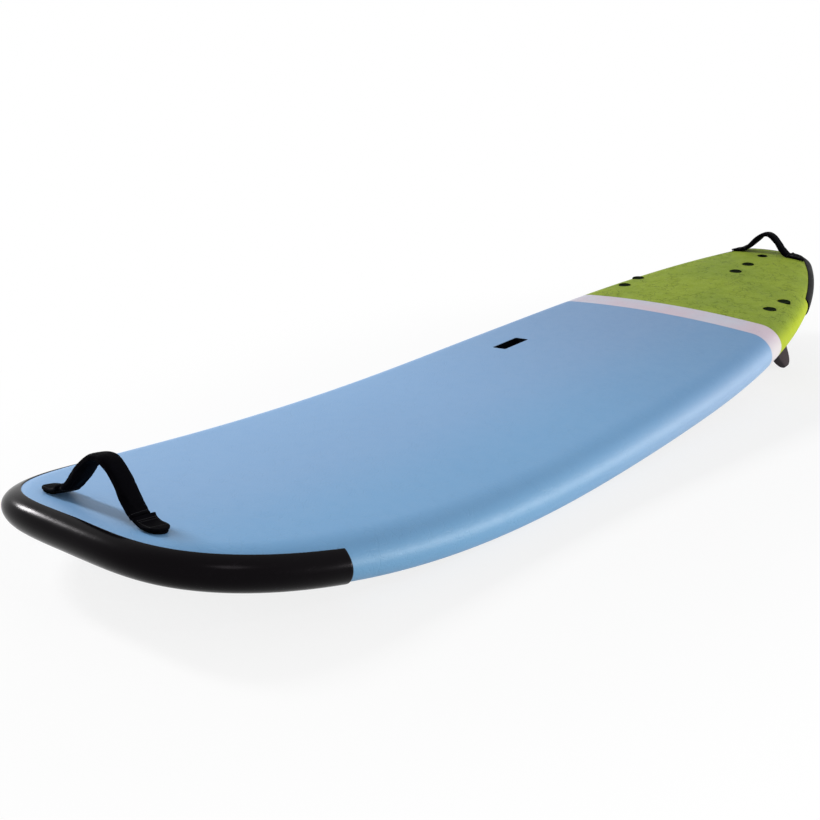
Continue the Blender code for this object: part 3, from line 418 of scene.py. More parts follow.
def denseOutline():
    points = []
    count = outlineSteps["nose"]
    for step in range(count + 1):
        turn = radians(90.0 * (1.0 - step / count))
        share = sin(turn) ** (2.0 / hull["noseFull"])
        side = cos(turn) ** (2.0 / hull["noseBlunt"]) if step else 0.0
        points.append(Vector((
            hull["widePoint"] + (hullHalf - hull["widePoint"]) * share, hull["width"] / 2.0 * side)))
    cornerX = -hullHalf + hull["tailBow"]
    for x in steps(hull["widePoint"], cornerX, outlineSteps["side"])[1:]:
        points.append(Vector((x, halfWidth(x))))
    corner = points[-1].copy()
    squareTail = []
    for turn in steps(0.0, 90.0, outlineSteps["tail"])[1:]:
        side = cos(radians(turn))
        squareTail.append(Vector((-hullHalf + hull["tailBow"] * side ** hull["bowCurve"], corner.y * side)))
    squareTail[-1].y = 0.0
    points = [point for point in points if (point - corner).length > hull["tailCorner"] or point.x > 0.0]
    squareTail = [point for point in squareTail if (point - corner).length > hull["tailCorner"]]
    bend = [points[-1].lerp(corner, share).lerp(corner.lerp(squareTail[0], share), share)
            for share in steps(0.0, 1.0, outlineSteps["corner"])[1:-1]]
    return points + bend + squareTail


outline = denseOutline()
travelled = runningLengths(outline)


def outlineAt(travel):
    travel = min(max(travel, 0.0), travelled[-1])
    after = max(bisect.bisect_left(travelled, travel), 1)
    share = (travel - travelled[after - 1]) / (travelled[after] - travelled[after - 1])
    return outline[after - 1].lerp(outline[after], share)


def travelTo(x):
    for before, after, reached, further in zip(outline, outline[1:], travelled, travelled[1:]):
        if after.x <= x:
            return reached + (before.x - x) / (before.x - after.x) * (further - reached)
    return travelled[-1]


class Rib:
    def __init__(self, travel):
        self.travel = travel
        self.edge = outlineAt(travel)
        x = self.edge.x
        near = min(max(x, -hullHalf + hull["tailFan"]), hullHalf - hull["noseFan"])   # past these the ribs fan out
        line = Vector((near + hull["fanShare"] * (x - near), 0.0)) - self.edge
        self.reach = line.length
        self.line = line.normalized()
        self.deckRound = min(hull["railDeck"], self.reach * hull["deckShare"])
        self.bottomRound = min(hull["railBottom"], self.reach * hull["bottomShare"])

    def spot(self, inward):
        place = self.edge + self.line * inward
        if abs(inward - self.reach) < tiny:
            place.y = 0.0
        return place

    def bottomCurve(self, turn, inset):
        spot = self.spot(self.bottomRound - (self.bottomRound - inset) * sin(turn))
        apex = hull["apex"] * railHeight(spot.x)
        return Vector((spot.x, spot.y, rocker(spot.x) + apex - (apex - inset) * cos(turn)))

    def deckCurve(self, turn, inset):
        inward = self.deckRound - (self.deckRound - inset) * cos(turn)
        spot = self.spot(inward)
        tall = railHeight(spot.x)
        apex = hull["apex"] * tall
        rise = (tall - apex - inset) * sin(turn) + crownRise(spot.x, inward, self.reach)
        return Vector((spot.x, spot.y, rocker(spot.x) + apex + rise))

    def around(self, turn, inset):
        if turn <= pi / 2.0:
            return self.bottomCurve(turn, inset)
        return self.deckCurve(turn - pi / 2.0, inset)

    def deckFlat(self, share, inset):
        inward = self.deckRound + (self.reach - self.deckRound) * share
        spot = self.spot(inward)
        return Vector((spot.x, spot.y,
                       rocker(spot.x) + railHeight(spot.x) - inset + crownRise(spot.x, inward, self.reach)))

    def bottomFlat(self, share, start, inset):
        spot = self.spot(start + (self.reach - start) * share)
        return Vector((spot.x, spot.y, rocker(spot.x) + inset))

    def wrap(self, inset):
        points = [self.bottomCurve(turn, inset) for turn in steps(0.0, pi / 2.0, girthSteps["bottom"])]
        points += [self.deckCurve(turn, inset) for turn in steps(0.0, pi / 2.0, girthSteps["rail"])[1:]]
        return points + [self.deckFlat(share, inset) for share in steps(0.0, 1.0, girthSteps["deck"])[1:]]


def loft(travels, chainOf, looped=False):
    chains = [chainOf(Rib(travel)) for travel in travels]
    work = bmesh.new()
    for side in (1.0, -1.0):
        rows = [[work.verts.new((point.x, point.y * side, point.z)) for point in chain] for chain in chains]
        for ahead, behind in zip(rows, rows[1:]):
            bridge(work, ahead, behind, looped)
        count = len(rows[0])
        for row in (rows[0], rows[-1]):
            if max(abs(vertex.co.y) for vertex in row) < weld:   # the halves meet here, so no cap
                continue
            for here in range(count // 2 - 1):
                work.faces.new((row[here], row[here + 1], row[count - 2 - here], row[count - 1 - here]))
    bmesh.ops.remove_doubles(work, verts=work.verts, dist=weld)
    return work


def skinChain(rib):
    return list(reversed(rib.wrap(0.0))) + rib.wrap(hull["skin"])


def slickChain(rib):
    start = rib.bottomRound + hull["gap"]
    lower, upper = ([rib.bottomFlat(share, start, inset) for share in steps(0.0, 1.0, girthSteps["slick"])]
                    for inset in (0.0, hull["slick"]))
    return list(reversed(lower)) + upper


tailX = -hullHalf
stripeBack = tailX + hull["stripeFromTail"]
stripeFront = stripeBack + hull["stripeWidth"]
breath = hull["gap"] / 2.0
noseFine = travelTo(hullHalf - hull["noseFan"])   # the ribs stand closer together in the round of the nose
frontRuns = runs(0.0, noseFine, ribStep["fine"])
frontRuns += runs(frontRuns[-1], travelTo(stripeFront) - breath, ribStep["body"])[1:]
stripeRuns = runs(travelTo(stripeFront) + breath, travelTo(stripeBack) - breath, ribStep["fine"])
tailRuns = runs(travelTo(stripeBack) + breath, travelTo(tailX + hull["tailFine"]), ribStep["body"])
tailRuns += runs(tailRuns[-1], travelled[-1], ribStep["fine"])[1:]
bottomRuns = runs(0.0, noseFine, ribStep["bottomFine"]) + runs(noseFine, travelled[-1], ribStep["bottomBody"])[1:]
print("ribs laid out:", len(frontRuns), len(stripeRuns), len(tailRuns))


# Seats of the fittings, in board axes

def tipped(x, z, slope, y=0.0):
    return Matrix.Translation((x, y, z)) @ Matrix.Rotation(-slope, 4, "Y")


fins = dict(
    boltSpacing=0.082, sideFront=tailX + 0.547, sideInset=0.062, centreFront=tailX + 0.2955,
    toe=2.5, cant=8.0, slopeStep=0.02, headRadius=0.0158,
)


def finSeat(frontX, lean):
    x = frontX - fins["boltSpacing"] / 2.0
    step = fins["slopeStep"]
    slope = atan2(rocker(x + step) - rocker(x - step), 2.0 * step)
    side = (halfWidth(fins["sideFront"]) - fins["sideInset"]) * lean
    return tipped(x, rocker(x), slope, side) @ Matrix.Rotation(-lean * radians(fins["toe"]), 4, "Z"), lean


finSeats = dict(   # each with the way it leans: 1 to port, -1 to starboard
    fin_port=finSeat(fins["sideFront"], 1.0), fin_starboard=finSeat(fins["sideFront"], -1.0),
    fin_centre=finSeat(fins["centreFront"], 0.0),
)
plugSeat = tipped(-1.0965, 0.117154, 0.041975)
recessSeat = Matrix.Translation((-0.068, -0.153, 0.085448)) @ Matrix.Rotation(0.066998, 4, "X")


def bossPlaces(seat):
    for word, along in (("front", 0.5), ("rear", -0.5)):
        yield word, seat @ Matrix.Translation((along * fins["boltSpacing"], 0.0, 0.0))


def boltPlaces():
    for label, (seat, _) in finSeats.items():
        for word, place in bossPlaces(seat):
            yield label + "_" + word, place


# Lathe work and cutters

def lathe(work, profile, place, sides=48):
    rings = []
    for radius, height in profile:
        if radius < tiny:
            rings.append([work.verts.new(place @ Vector((0.0, 0.0, height)))] * sides)
            continue
        turns = [tau * (step + 0.5) / sides for step in range(sides)]
        rings.append([work.verts.new(place @ Vector((radius * cos(turn), radius * sin(turn), height)))
                      for turn in turns])
    for first, second in zip(rings, rings[1:]):
        bridge(work, first, second)


def roundedPrism(work, length, lowY, highY, lowZ, highZ, corner, place, bends=8):
    ring = []
    for way, centreY, start in ((1.0, highY - corner, 0.0), (-1.0, highY - corner, 90.0),
                                (-1.0, lowY + corner, 180.0), (1.0, lowY + corner, 270.0)):
        for turn in steps(start, start + 90.0, bends):
            ring.append((way * (length / 2.0 - corner) + corner * cos(radians(turn)),
                         centreY + corner * sin(radians(turn))))
    low, high = ([work.verts.new(place @ Vector((x, y, z))) for x, y in ring] for z in (lowZ, highZ))
    bridge(work, low, high)
    work.faces.new(list(reversed(low)))
    work.faces.new(high)


def addRod(work, radius, low, high, place):
    lathe(work, ((0.0, low), (radius, low), (radius, high), (0.0, high)), boardPlace @ place)


def cutAway(piece, work):
    bmesh.ops.recalc_face_normals(work, faces=work.faces)
    cutter = makeObject("cutter", meshOf("cutter", work))
    change = piece.modifiers.new("holes", "BOOLEAN")
    change.solver = "EXACT"
    change.object = cutter
    plainMesh(piece)
    bpy.data.objects.remove(cutter, do_unlink=True)
    piece.data.set_sharp_from_angle(angle=radians(sharpAngle))


# Deck skins and bottom

frontSkin = finishPiece("deckFront", loft(frontRuns, skinChain), blueSkin, ("deck_skin_front",))
stripePanel = finishPiece("deckStripe", loft(stripeRuns, skinChain), stripeSkin, ("deck_skin_stripe",))
tailSkin = finishPiece("deckTail", loft(tailRuns, skinChain), greenSkin, ("deck_skin_tail",))
bottomSheet = finishPiece("bottomSheet", loft(bottomRuns, slickChain), slickSheet, ("bottom_skin",))

work = bmesh.new()
for piece in (frontSkin, stripePanel, tailSkin):
    work.from_mesh(piece.data)
bmesh.ops.transform(work, matrix=boardPlace.inverted(), verts=work.verts)
deck = BVHTree.FromBMesh(work)   # the whole deck, before its holes are cut
work.free()


def strike(start, direction):
    return deck.ray_cast(Vector(start), Vector(direction))[0]


hole = dict(   # radius and both ends; the recess has its length, sides, ends and corner
    head=(fins["headRadius"] + 0.0004, 0.02, 0.14), shaft=(0.0083, -0.02, 0.012),
    plug=(0.0138, -0.04, 0.02), recess=(0.0936, -0.0163, 0.0163, -0.02, 0.02, 0.0043),
)
headHoles, shaftHoles, recessHole = bmesh.new(), bmesh.new(), bmesh.new()
for _, place in boltPlaces():
    addRod(headHoles, *hole["head"], place)
    addRod(shaftHoles, *hole["shaft"], place)
addRod(headHoles, *hole["plug"], plugSeat)
roundedPrism(recessHole, *hole["recess"], boardPlace @ recessSeat)
for piece, cutters in ((tailSkin, headHoles), (bottomSheet, shaftHoles), (frontSkin, recessHole)):
    cutAway(piece, cutters)
print("deck skins and bottom done")


# Rubber bumpers

bumper = dict(
    wall=0.0031, lip=0.0013, round=0.0011, swell=0.7, noseReach=0.250, noseBand=(0.074, 0.068),
    tailReach=0.360, tailBand=(0.072, 0.062), edge=0.003, ribs=0.007, endRoom=0.006,
    lipBand=0.0055, bandSteps=26,
)
lipSteps = (0.0, 0.00012, 0.0004, 0.0008, 0.0013, 0.0022, 0.0035)
endSteps = (0.0, 0.0004, 0.001, 0.002, 0.003, 0.0045)


def bandTurns(rib, band):
    reached = runningLengths([rib.around(radians(degree), 0.0) for degree in range(181)])
    band = min(band, reached[-1])
    lip, count = bumper["lipBand"], bumper["bandSteps"]
    wanted = list(lipSteps) + [lip + (band - 2.0 * lip) * step / count for step in range(count + 1)]
    wanted += [band - step for step in reversed(lipSteps)]
    turns = []
    for girth in wanted:
        after = min(max(bisect.bisect_right(reached, girth), 1), 180)
        degree = after - 1 + (girth - reached[after - 1]) / (reached[after] - reached[after - 1])
        turns.append((radians(degree), girth / band, min(girth, band - girth)))
    return turns


def bumperChain(middle, end, bands):
    def chain(rib):
        share = (rib.travel - middle) / (end - middle)
        fade = quarterRound(abs(end - rib.travel) / bumper["edge"], 0.02)   # the cut end is rounded over
        outer, inner = [], []
        for turn, girth, fromLip in bandTurns(rib, bands[0] + (bands[1] - bands[0]) * share):
            swell = max(sin(pi * girth), 0.0) ** bumper["swell"]
            rise = bumper["lip"] + (bumper["wall"] - bumper["lip"]) * swell
            rolled = quarterRound(fromLip / bumper["round"], 0.01)
            inner.append(rib.around(turn, -hull["gap"]))
            outer.append(rib.around(turn, -(hull["gap"] + rise * rolled * fade)))
        return outer + list(reversed(inner))
    return chain


noseEnd = travelTo(hullHalf - bumper["noseReach"])
noseRuns = runs(0.0, noseEnd - bumper["endRoom"], bumper["ribs"])
noseRuns += [noseEnd - step for step in reversed(endSteps)]
finishPiece("noseBumper", loft(noseRuns, bumperChain(0.0, noseEnd, bumper["noseBand"]), True),
            noseRubber, ("nose_bumper",), softAngle)
tailEnd = travelTo(tailX + bumper["tailReach"])
tailBumperRuns = [tailEnd + step for step in endSteps]
tailBumperRuns += runs(tailEnd + bumper["endRoom"], travelled[-1], bumper["ribs"])
finishPiece("tailBumper", loft(tailBumperRuns, bumperChain(travelled[-1], tailEnd, bumper["tailBand"]), True),
            tailRubber, ("tail_bumper",), softAngle)
print("bumpers done")


# Handles: webbing strap, padded sleeve, and a tab sewn over each foot

handles = dict(
    nose=dict(x=1.1455, z=0.177797, slope=0.183122, inset=0.081, rise=0.0685, lean=0.0075,
              tab=0.045, portReach=0.935, portFoot=0.024),
    tail=dict(x=-1.1335, z=0.118151, slope=0.017541, inset=0.026, rise=0.0505, lean=0.013,
              tab=0.038, portReach=1.0, portFoot=0.036),
)
strap = dict(
    half=0.0148, thick=0.0026, foot=0.022, seat=0.0005, bell=1.04, corner=0.35,
    spacing=0.0030, sides=16, tipLeast=0.0008,
    tipTurns=(88.0, 80.0, 70.0, 60.0, 48.0, 36.0, 24.0, 12.0, 0.0),
)
pad = dict(
    half=0.0162, under=0.0032, over=0.0038, play=0.0006, corner=0.6, sides=48, fromTab=0.0012,
    spacing=0.0018, hem=0.006, seam=0.0045, seamWidth=0.30, seamDepth=0.35,
    bend=0.020, fold=0.0005, foldRate=900.0, loose=0.0011, looseRate=55.0,
    ends=(0.007, 0.0055, 0.0045, 0.0035, 0.0025, 0.0015, 0.0008, 0.0003, 0.0),
)
tab = dict(
    half=0.0192, thick=0.0040, lip=0.0042, corner=0.35, sides=20, above=0.0006, spacing=0.003,
    lipReach=0.006, bodyFrom=0.008, rim=0.004, sharp=50.0,
    lipSteps=(0.0, 0.0004, 0.001, 0.002, 0.003, 0.0045, 0.006),
)
stitch = dict(
    spacing=0.0034, length=0.0024, radius=0.00032, sides=6, rise=0.0001,
    reach=(-0.0150, -0.005, 0.005, 0.0150), first=0.006, cross=0.010, last=0.012,
)


class HandlePath:
    def __init__(self, facts):
        self.facts = facts
        self.seat = tipped(facts["x"], facts["z"], facts["slope"])
        self.up = self.seat.to_3x3() @ upward
        self.ahead = self.seat.to_3x3() @ Vector((1.0, 0.0, 0.0))
        self.end = halfWidth(facts["x"]) - facts["inset"]
        self.foot = self.end - strap["foot"]
        self.tabStart = self.end - facts["tab"]
        self.sleeveEnd = self.tabStart - pad["fromTab"]
        self.known = {}

    def across(self, side):
        return side * (self.facts["portReach"] if side > 0.0 else 1.0)   # the port leg is drawn in a little

    def ground(self, side, along=0.0):
        key = (round(side, 6), along)
        if key not in self.known:
            origin = self.seat.translation
            start = origin + self.ahead * along + Vector((0.0, self.across(side), 0.0)) + self.up * 0.2
            self.known[key] = (strike(start, -self.up) - origin).dot(self.up)
        return self.known[key]

    def bell(self, side):
        foot = self.end - self.facts["portFoot"] if side > 0.0 else self.foot
        return (0.5 + 0.5 * cos(pi * min(abs(side) / foot, 1.0))) ** strap["bell"]

    def point(self, side):
        share = self.bell(side)
        level = strap["seat"] + strap["thick"] / 2.0
        return Vector((self.facts["lean"] * share, self.across(side),
                       self.ground(side) * (1.0 - share) + level + self.facts["rise"] * share))

    def frameAt(self, side, near=0.0003):
        along = (self.point(side + near) - self.point(side - near)).normalized()
        tip = (self.ground(side, strap["half"]) - self.ground(side, -strap["half"])) * (1.0 - self.bell(side))
        across = Vector((2.0 * strap["half"], 0.0, tip))
        across = (across - along * across.dot(along)).normalized()
        return self.point(side), across, across.cross(along)

    def planHalf(self, side, half):   # half the width of a strip whose ends are round
        over = abs(side) - (self.end - half)
        if over <= 0.0:
            return half
        return max(half * sqrt(max(1.0 - (over / half) ** 2, 0.0)), strap["tipLeast"])

    def tip(self, half):
        return [self.end - half * (1.0 - sin(radians(turn))) for turn in strap["tipTurns"]]

    def needle(self, side, reach, rise):
        centre, across, up = self.frameAt(side)
        return self.seat @ (centre + across * reach + up * rise)


def mirrored(values):
    return [-value for value in reversed(values) if value > 0.0] + values


def ovalRing(half, under, over, power, sides):
    ring = []
    for step in range(sides):
        turn = tau * (step + 0.5) / sides
        side = copysign(abs(cos(turn)) ** power, cos(turn))
        rise = copysign(abs(sin(turn)) ** power, sin(turn))
        ring.append((half * side, (over if rise > 0.0 else under) * rise))
    return ring


def sweep(path, sides, ringAt, offset=0.0, boreAt=None):
    work = bmesh.new()
    weave = work.loops.layers.uv.new("weave")
    lengths = runningLengths([path.point(side) for side in sides])
    shells = []
    for ringOf in (ringAt, boreAt) if boreAt else (ringAt,):
        rows = []
        for side, length in zip(sides, lengths):
            centre, across, up = path.frameAt(side)
            rows.append([(work.verts.new(path.seat @ (centre + up * (offset + rise) + across * reach)),
                          (reach, length)) for reach, rise in ringOf(side)])
        quilt(work, rows, weave)
        shells.append(rows)
    for end in (0, -1):
        rims = [[vertex for vertex, _ in rows[end]] for rows in shells]
        if boreAt:
            bridge(work, *rims)
        else:
            work.faces.new(rims[0])
    return work


def sleeveRing(path):
    bore = strap["half"] + pad["play"]
    wall = strap["thick"] / 2.0 + pad["play"]

    def ringAt(side):
        edge = (path.sleeveEnd - abs(side)) / pad["hem"]
        seam = (edge - pad["seam"] / pad["hem"]) / pad["seamWidth"]
        hem = 1.0 - pad["seamDepth"] * exp(-seam ** 2)   # the seam draws the end in
        hem *= quarterRound(edge * 2.0, 0.05, 0.75)
        fold = pad["fold"] * exp(-(side / pad["bend"]) ** 2) * sin(side * pad["foldRate"])   # under the arch's top
        loose = pad["loose"] * noise.noise(Vector((side * pad["looseRate"], path.facts["x"], 0.0)))
        under = wall + (pad["under"] + loose * 0.6) * hem + fold
        over = wall + (pad["over"] + loose) * hem
        half = bore + (pad["half"] - bore) * hem + loose * 0.5
        ring = []
        for reach, rise in ovalRing(half, under, over, pad["corner"], pad["sides"]):
            crease = noise.noise(Vector((reach * 90.0, side * 130.0, path.facts["x"] * 3.0)))
            ring.append((reach * (1.0 + 0.012 * crease), rise * (1.0 + 0.05 * crease)))
        return ring
    return ringAt


def stitchTree():
    tree = bpy.data.node_groups.new("stitchRow", "GeometryNodeTree")
    for name, way in (("Geometry", "OUTPUT"), ("Rows", "INPUT")):
        tree.interface.new_socket(name, in_out=way, socket_type="NodeSocketGeometry")

    def add(kind, inputs=None, settings=None):
        return makeNode(tree, kind, settings, inputs)

    line = add("GeometryNodeMeshToCurve", {0: add("NodeGroupInput")})
    spaced = add("GeometryNodeResampleCurve", {"Curve": line, "Length": stitch["spacing"]}, {"mode": "LENGTH"})
    facing = add("FunctionNodeAlignRotationToVector", {"Vector": add("GeometryNodeInputTangent")}, {"axis": "Z"})
    thread = add("GeometryNodeMeshCylinder", {
        "Vertices": stitch["sides"], "Radius": stitch["radius"], "Depth": stitch["length"]})
    rounded = add("GeometryNodeSetShadeSmooth", {0: thread})
    placed = add("GeometryNodeInstanceOnPoints", {"Points": spaced, "Instance": rounded, "Rotation": facing})
    real = add("GeometryNodeRealizeInstances", {0: placed})
    dressed = add("GeometryNodeSetMaterial", {"Geometry": real, "Material": stitchThread})
    plug(tree, dressed, tree.nodes.new("NodeGroupOutput").inputs[0])
    return tree


stitches = stitchTree()


def sewRows(name, rows):
    work = bmesh.new()
    for row in rows:
        points = [work.verts.new(boardPlace @ point) for point in row]
        for first, second in zip(points, points[1:]):
            work.edges.new((first, second))
    piece = makeObject(name, meshOf(name, work))
    piece.modifiers.new("stitches", "NODES").node_group = stitches
    plainMesh(piece)
    declare(piece)


padding = dict(
    frames=20, heldFrom=0.005, heldTo=0.016, cap=0.0019,
    cloth=dict(quality=6, mass=0.3, bending_stiffness=0.25, use_pressure=True,
               uniform_pressure_force=7.0, shrink_min=-0.045),   # cut a little larger than the foam under it
)


def swellPadding(piece, held):
    group = piece.vertex_groups.new(name="held")
    for index, weight in enumerate(held):
        if weight > 0.0:
            group.add([index], weight, "REPLACE")
    start = [vertex.co.copy() for vertex in piece.data.vertices]
    cloth = piece.modifiers.new("padding", "CLOTH")
    cloth.point_cache.frame_start = 1
    cloth.point_cache.frame_end = padding["frames"]
    for setting, value in padding["cloth"].items():
        setattr(cloth.settings, setting, value)
    cloth.settings.vertex_group_mass = group.name
    cloth.settings.effector_weights.gravity = 0.0
    for moment in range(1, padding["frames"] + 1):
        bpy.context.scene.frame_set(moment)
    settled = piece.evaluated_get(bpy.context.evaluated_depsgraph_get()).data
    moves = [vertex.co - before for vertex, before in zip(settled.vertices, start)]
    piece.modifiers.clear()
    piece.vertex_groups.clear()
    bpy.context.scene.frame_set(1)
    for vertex, before, move in zip(piece.data.vertices, start, moves):
        vertex.co = before + move * min(1.0, padding["cap"] / max(move.length, tiny))
    piece.data.update()
    print("padding of", piece.name, "moved up to", round(max(move.length for move in moves) * 1000.0, 2), "mm")


def buildStrap(label, path):
    flat = strap["thick"] / 2.0
    straight = path.end - strap["half"]   # from here the end is round
    feet = runs(path.foot, straight, strap["spacing"])[1:] if straight > path.foot else []
    places = runs(0.0, path.foot, strap["spacing"]) + feet + path.tip(strap["half"])
    sides = mirrored(sorted(set(round(value, 6) for value in places)))
    finishPiece(label + "Strap", sweep(path, sides, lambda side: ovalRing(
        path.planHalf(side, strap["half"]), flat, flat, strap["corner"], strap["sides"])),
        handleWebbing, (label + "_handle_strap",))


def buildSleeve(label, path):
    middle = runs(0.0, path.sleeveEnd - 1.5 * pad["hem"], pad["spacing"])
    sides = mirrored(middle + [path.sleeveEnd - step for step in pad["ends"]])
    wall = strap["thick"] / 2.0 + pad["play"]
    sleeve = finishPiece(label + "Sleeve", sweep(
        path, sides, sleeveRing(path), 0.0,
        lambda side: ovalRing(strap["half"] + pad["play"], wall, wall, strap["corner"], pad["sides"])),
        sleeveCloth, (label + "_handle_sleeve",), softAngle)
    held = []   # 1 at the sewn ends and along the bore, which comes after the outer shell
    for side in sides:
        share = (path.sleeveEnd - abs(side) - padding["heldFrom"]) / (padding["heldTo"] - padding["heldFrom"])
        held += [1.0 - min(max(share, 0.0), 1.0)] * pad["sides"]
    swellPadding(sleeve, held + [1.0] * (len(sleeve.data.vertices) - len(held)))


def tabRing(path):
    def ringAt(side):
        inward = (abs(side) - path.tabStart) / tab["lipReach"]
        fold = tab["lip"] * max(0.0, 1.0 - inward) ** 1.5
        soft = quarterRound(inward * 3.0, 0.12)
        rim = sqrt(max(1.0 - max(0.0, (abs(side) - path.end + tab["rim"]) / tab["rim"]) ** 2, 0.10))
        flat = tab["thick"] / 2.0
        return ovalRing(path.planHalf(side, tab["half"]), flat * soft * rim, (flat + fold) * soft * rim,
                        tab["corner"], tab["sides"])
    return ringAt


def buildTab(label, path, word, sign):
    above = strap["thick"] / 2.0 + tab["above"] + tab["thick"] / 2.0
    places = [path.tabStart + step for step in tab["lipSteps"]]
    places += runs(path.tabStart + tab["bodyFrom"], path.end - tab["half"], tab["spacing"])
    places += path.tip(tab["half"])[::-1][1:]
    work = sweep(path, [place * sign for place in places], tabRing(path), above)
    finishPiece(label + "Tab" + word.capitalize(), work, handleWebbing,
                (label + "_handle_tab_" + word,), tab["sharp"])
    top = above + tab["thick"] / 2.0 + stitch["rise"]
    start, cross, end = path.tabStart + stitch["first"], path.tabStart + stitch["cross"], path.end - stitch["last"]
    rows = [[path.needle(side * sign, reach, top) for side in runs(start, end, tab["spacing"])]
            for reach in (stitch["reach"][0], stitch["reach"][-1])]
    rows += [[path.needle(side * sign, reach, top) for reach in stitch["reach"]] for side in (start, cross, end)]
    seam = (path.sleeveEnd - pad["seam"]) * sign
    ring = sleeveRing(path)(seam)
    return rows + [[path.needle(seam, reach, rise) for reach, rise in ring + ring[:1]]]


for label, facts in handles.items():
    path = HandlePath(facts)
    buildStrap(label, path)
    buildSleeve(label, path)
    sewRows(label + "Stitches", buildTab(label, path, "port", 1.0) + buildTab(label, path, "starboard", -1.0))
print("handles done")


# Fins, bolts and the other fittings

blade = dict(
    baseLength=0.124, baseWidth=0.020, baseThick=0.003, baseFlat=0.0003, baseBends=12, depth=0.099, chord=0.112,
    taper=0.35, rake=0.067, thick=0.009, thinning=0.6, tipRound=6, sweep=1.5, lead=0.35,
    bossRadius=0.006, bossHeight=0.030, fillet=0.004, filletWide=0.006, bore=0.0043, boreEnd=0.0114,
    bossEdge=0.0005, rimBevel=0.0012, tipDepth=0.98, tipFade=14, sides=32, sharp=45.0,
    spanSteps=30, tipShares=(0.9, 0.92, 0.94, 0.955, 0.968, 0.978, 0.986, 0.992),
)
foilCurve = (
    (0.0, 0.0), (0.01, 0.16), (0.03, 0.31), (0.07, 0.50), (0.12, 0.67), (0.19, 0.83), (0.28, 0.96), (0.36, 1.0),
    (0.46, 0.96), (0.57, 0.85), (0.68, 0.70), (0.80, 0.50), (0.90, 0.32), (0.97, 0.18), (1.0, 0.09))


def buildFin(label, seat, lean):
    work = bmesh.new()
    foil = work.loops.layers.uv.new("foil")
    bottom = -hull["gap"] - blade["baseThick"]
    half = blade["baseWidth"] / 2.0
    roundedPrism(work, blade["baseLength"], -half, half, bottom, -hull["gap"], half - blade["baseFlat"], seat,
                 blade["baseBends"])
    rim = [edge for edge in work.edges
           if all(abs((seat.inverted() @ vertex.co).z - bottom) < weld for vertex in edge.verts)]
    bmesh.ops.bevel(work, geom=rim, offset=blade["rimBevel"], segments=3, affect="EDGES")
    start = -hull["gap"] - blade["baseThick"] / 2.0
    cant = radians(fins["cant"]) * lean
    rows = []
    even = [step / blade["spanSteps"] * blade["tipShares"][0] for step in range(blade["spanSteps"] + 1)]
    for share in even + list(blade["tipShares"][1:]):
        full = blade["chord"] * (1.0 - blade["taper"] * share)
        chord = full * sqrt(1.0 - share ** blade["tipRound"])
        depth = (blade["depth"] + start) * share / blade["tipDepth"]
        root = exp(-max(depth - blade["baseThick"] / 2.0, 0.0) / blade["fillet"])
        thick = blade["thick"] * (1.0 - blade["thinning"] * share) * sqrt(max(1.0 - share ** blade["tipFade"], 0.01))
        thick += blade["filletWide"] * root
        front = blade["chord"] / 2.0 - blade["rake"] * share ** blade["sweep"]
        front -= blade["chord"] * blade["taper"] * share * blade["lead"] + (full - chord) / 2.0
        drop = start - min(depth, blade["depth"] + start)
        row = [(front - chord * along, thick / 2.0 * wide, along) for along, wide in foilCurve]
        ring = row + [(x, -y, along) for x, y, along in reversed(row[1:])]
        rows.append([(work.verts.new(seat @ Vector((x, y - tan(cant) * drop, drop))), (along, share))
                     for x, y, along in ring])
    quilt(work, rows, foil)
    for row in (rows[0], rows[-1]):
        work.faces.new([vertex for vertex, _ in row])
    outer, top, edge = blade["bossRadius"], blade["bossHeight"], blade["bossEdge"]
    bore, boreEnd = blade["bore"], blade["boreEnd"]
    for _, place in bossPlaces(seat):
        lathe(work, ((0.0, start), (outer, start), (outer, top - edge), (outer - edge, top),
                     (bore, top), (bore, boreEnd), (0.0, boreEnd)), place, blade["sides"])
    finishPiece(label.replace("fin_", "fin") + "Blade", work, finPlastic, (label,), blade["sharp"])


for label, (seat, lean) in finSeats.items():
    buildFin(label, seat, lean)

bolt = dict(
    thick=0.0044, proud=0.0004, play=0.0002, bevel=0.0012, bevelSteps=4, shank=0.0025,
    shankEnd=0.016, shankBevel=(0.0007, 0.0008), sides=56,
    dish=0.0004, dishRings=(0.72, 0.68, 0.40), dishRise=(0.0001, 0.0003),
    slotWidth=0.0018, slotDepth=0.0018, slotReach=0.0085, slotCorner=0.45,
)


def buildBolt(label, place):
    foot = place.translation
    up = (place.to_3x3() @ upward).normalized()
    top = (strike(foot + up * 0.3, -up) - foot).dot(up) + bolt["proud"]
    under = top - bolt["thick"]
    head = fins["headRadius"] - bolt["play"]
    shank, end, bevel = bolt["shank"], bolt["shankEnd"], bolt["bevel"]
    work = bmesh.new()
    profile = [(0.0, end), (shank - bolt["shankBevel"][0], end), (shank, end + bolt["shankBevel"][1]),
               (shank, under), (head, under), (head, top - bevel)]
    for turn in steps(0.0, pi / 2.0, bolt["bevelSteps"])[1:]:
        profile.append((head - bevel * (1.0 - cos(turn)), top - bevel * (1.0 - sin(turn))))
    dish = top - bolt["dish"]
    outer, inner, centre = (head * share for share in bolt["dishRings"])
    profile += [(outer, top - bolt["dishRise"][0]), (inner, dish), (centre, dish), (0.0, top - bolt["dishRise"][1])]
    lathe(work, profile, place, bolt["sides"])
    piece = finishPiece(label.replace("_", "") + "Head", work, boltPlastic, (label + "_bolt",))
    cutter = bmesh.new()
    roundedPrism(cutter, bolt["slotWidth"], -bolt["slotReach"], bolt["slotReach"],
                 top - bolt["slotDepth"], top + 0.01, bolt["slotWidth"] * bolt["slotCorner"],
                 boardPlace @ place, 4)
    cutAway(piece, cutter)


for label, place in boltPlaces():
    buildBolt(label, place)

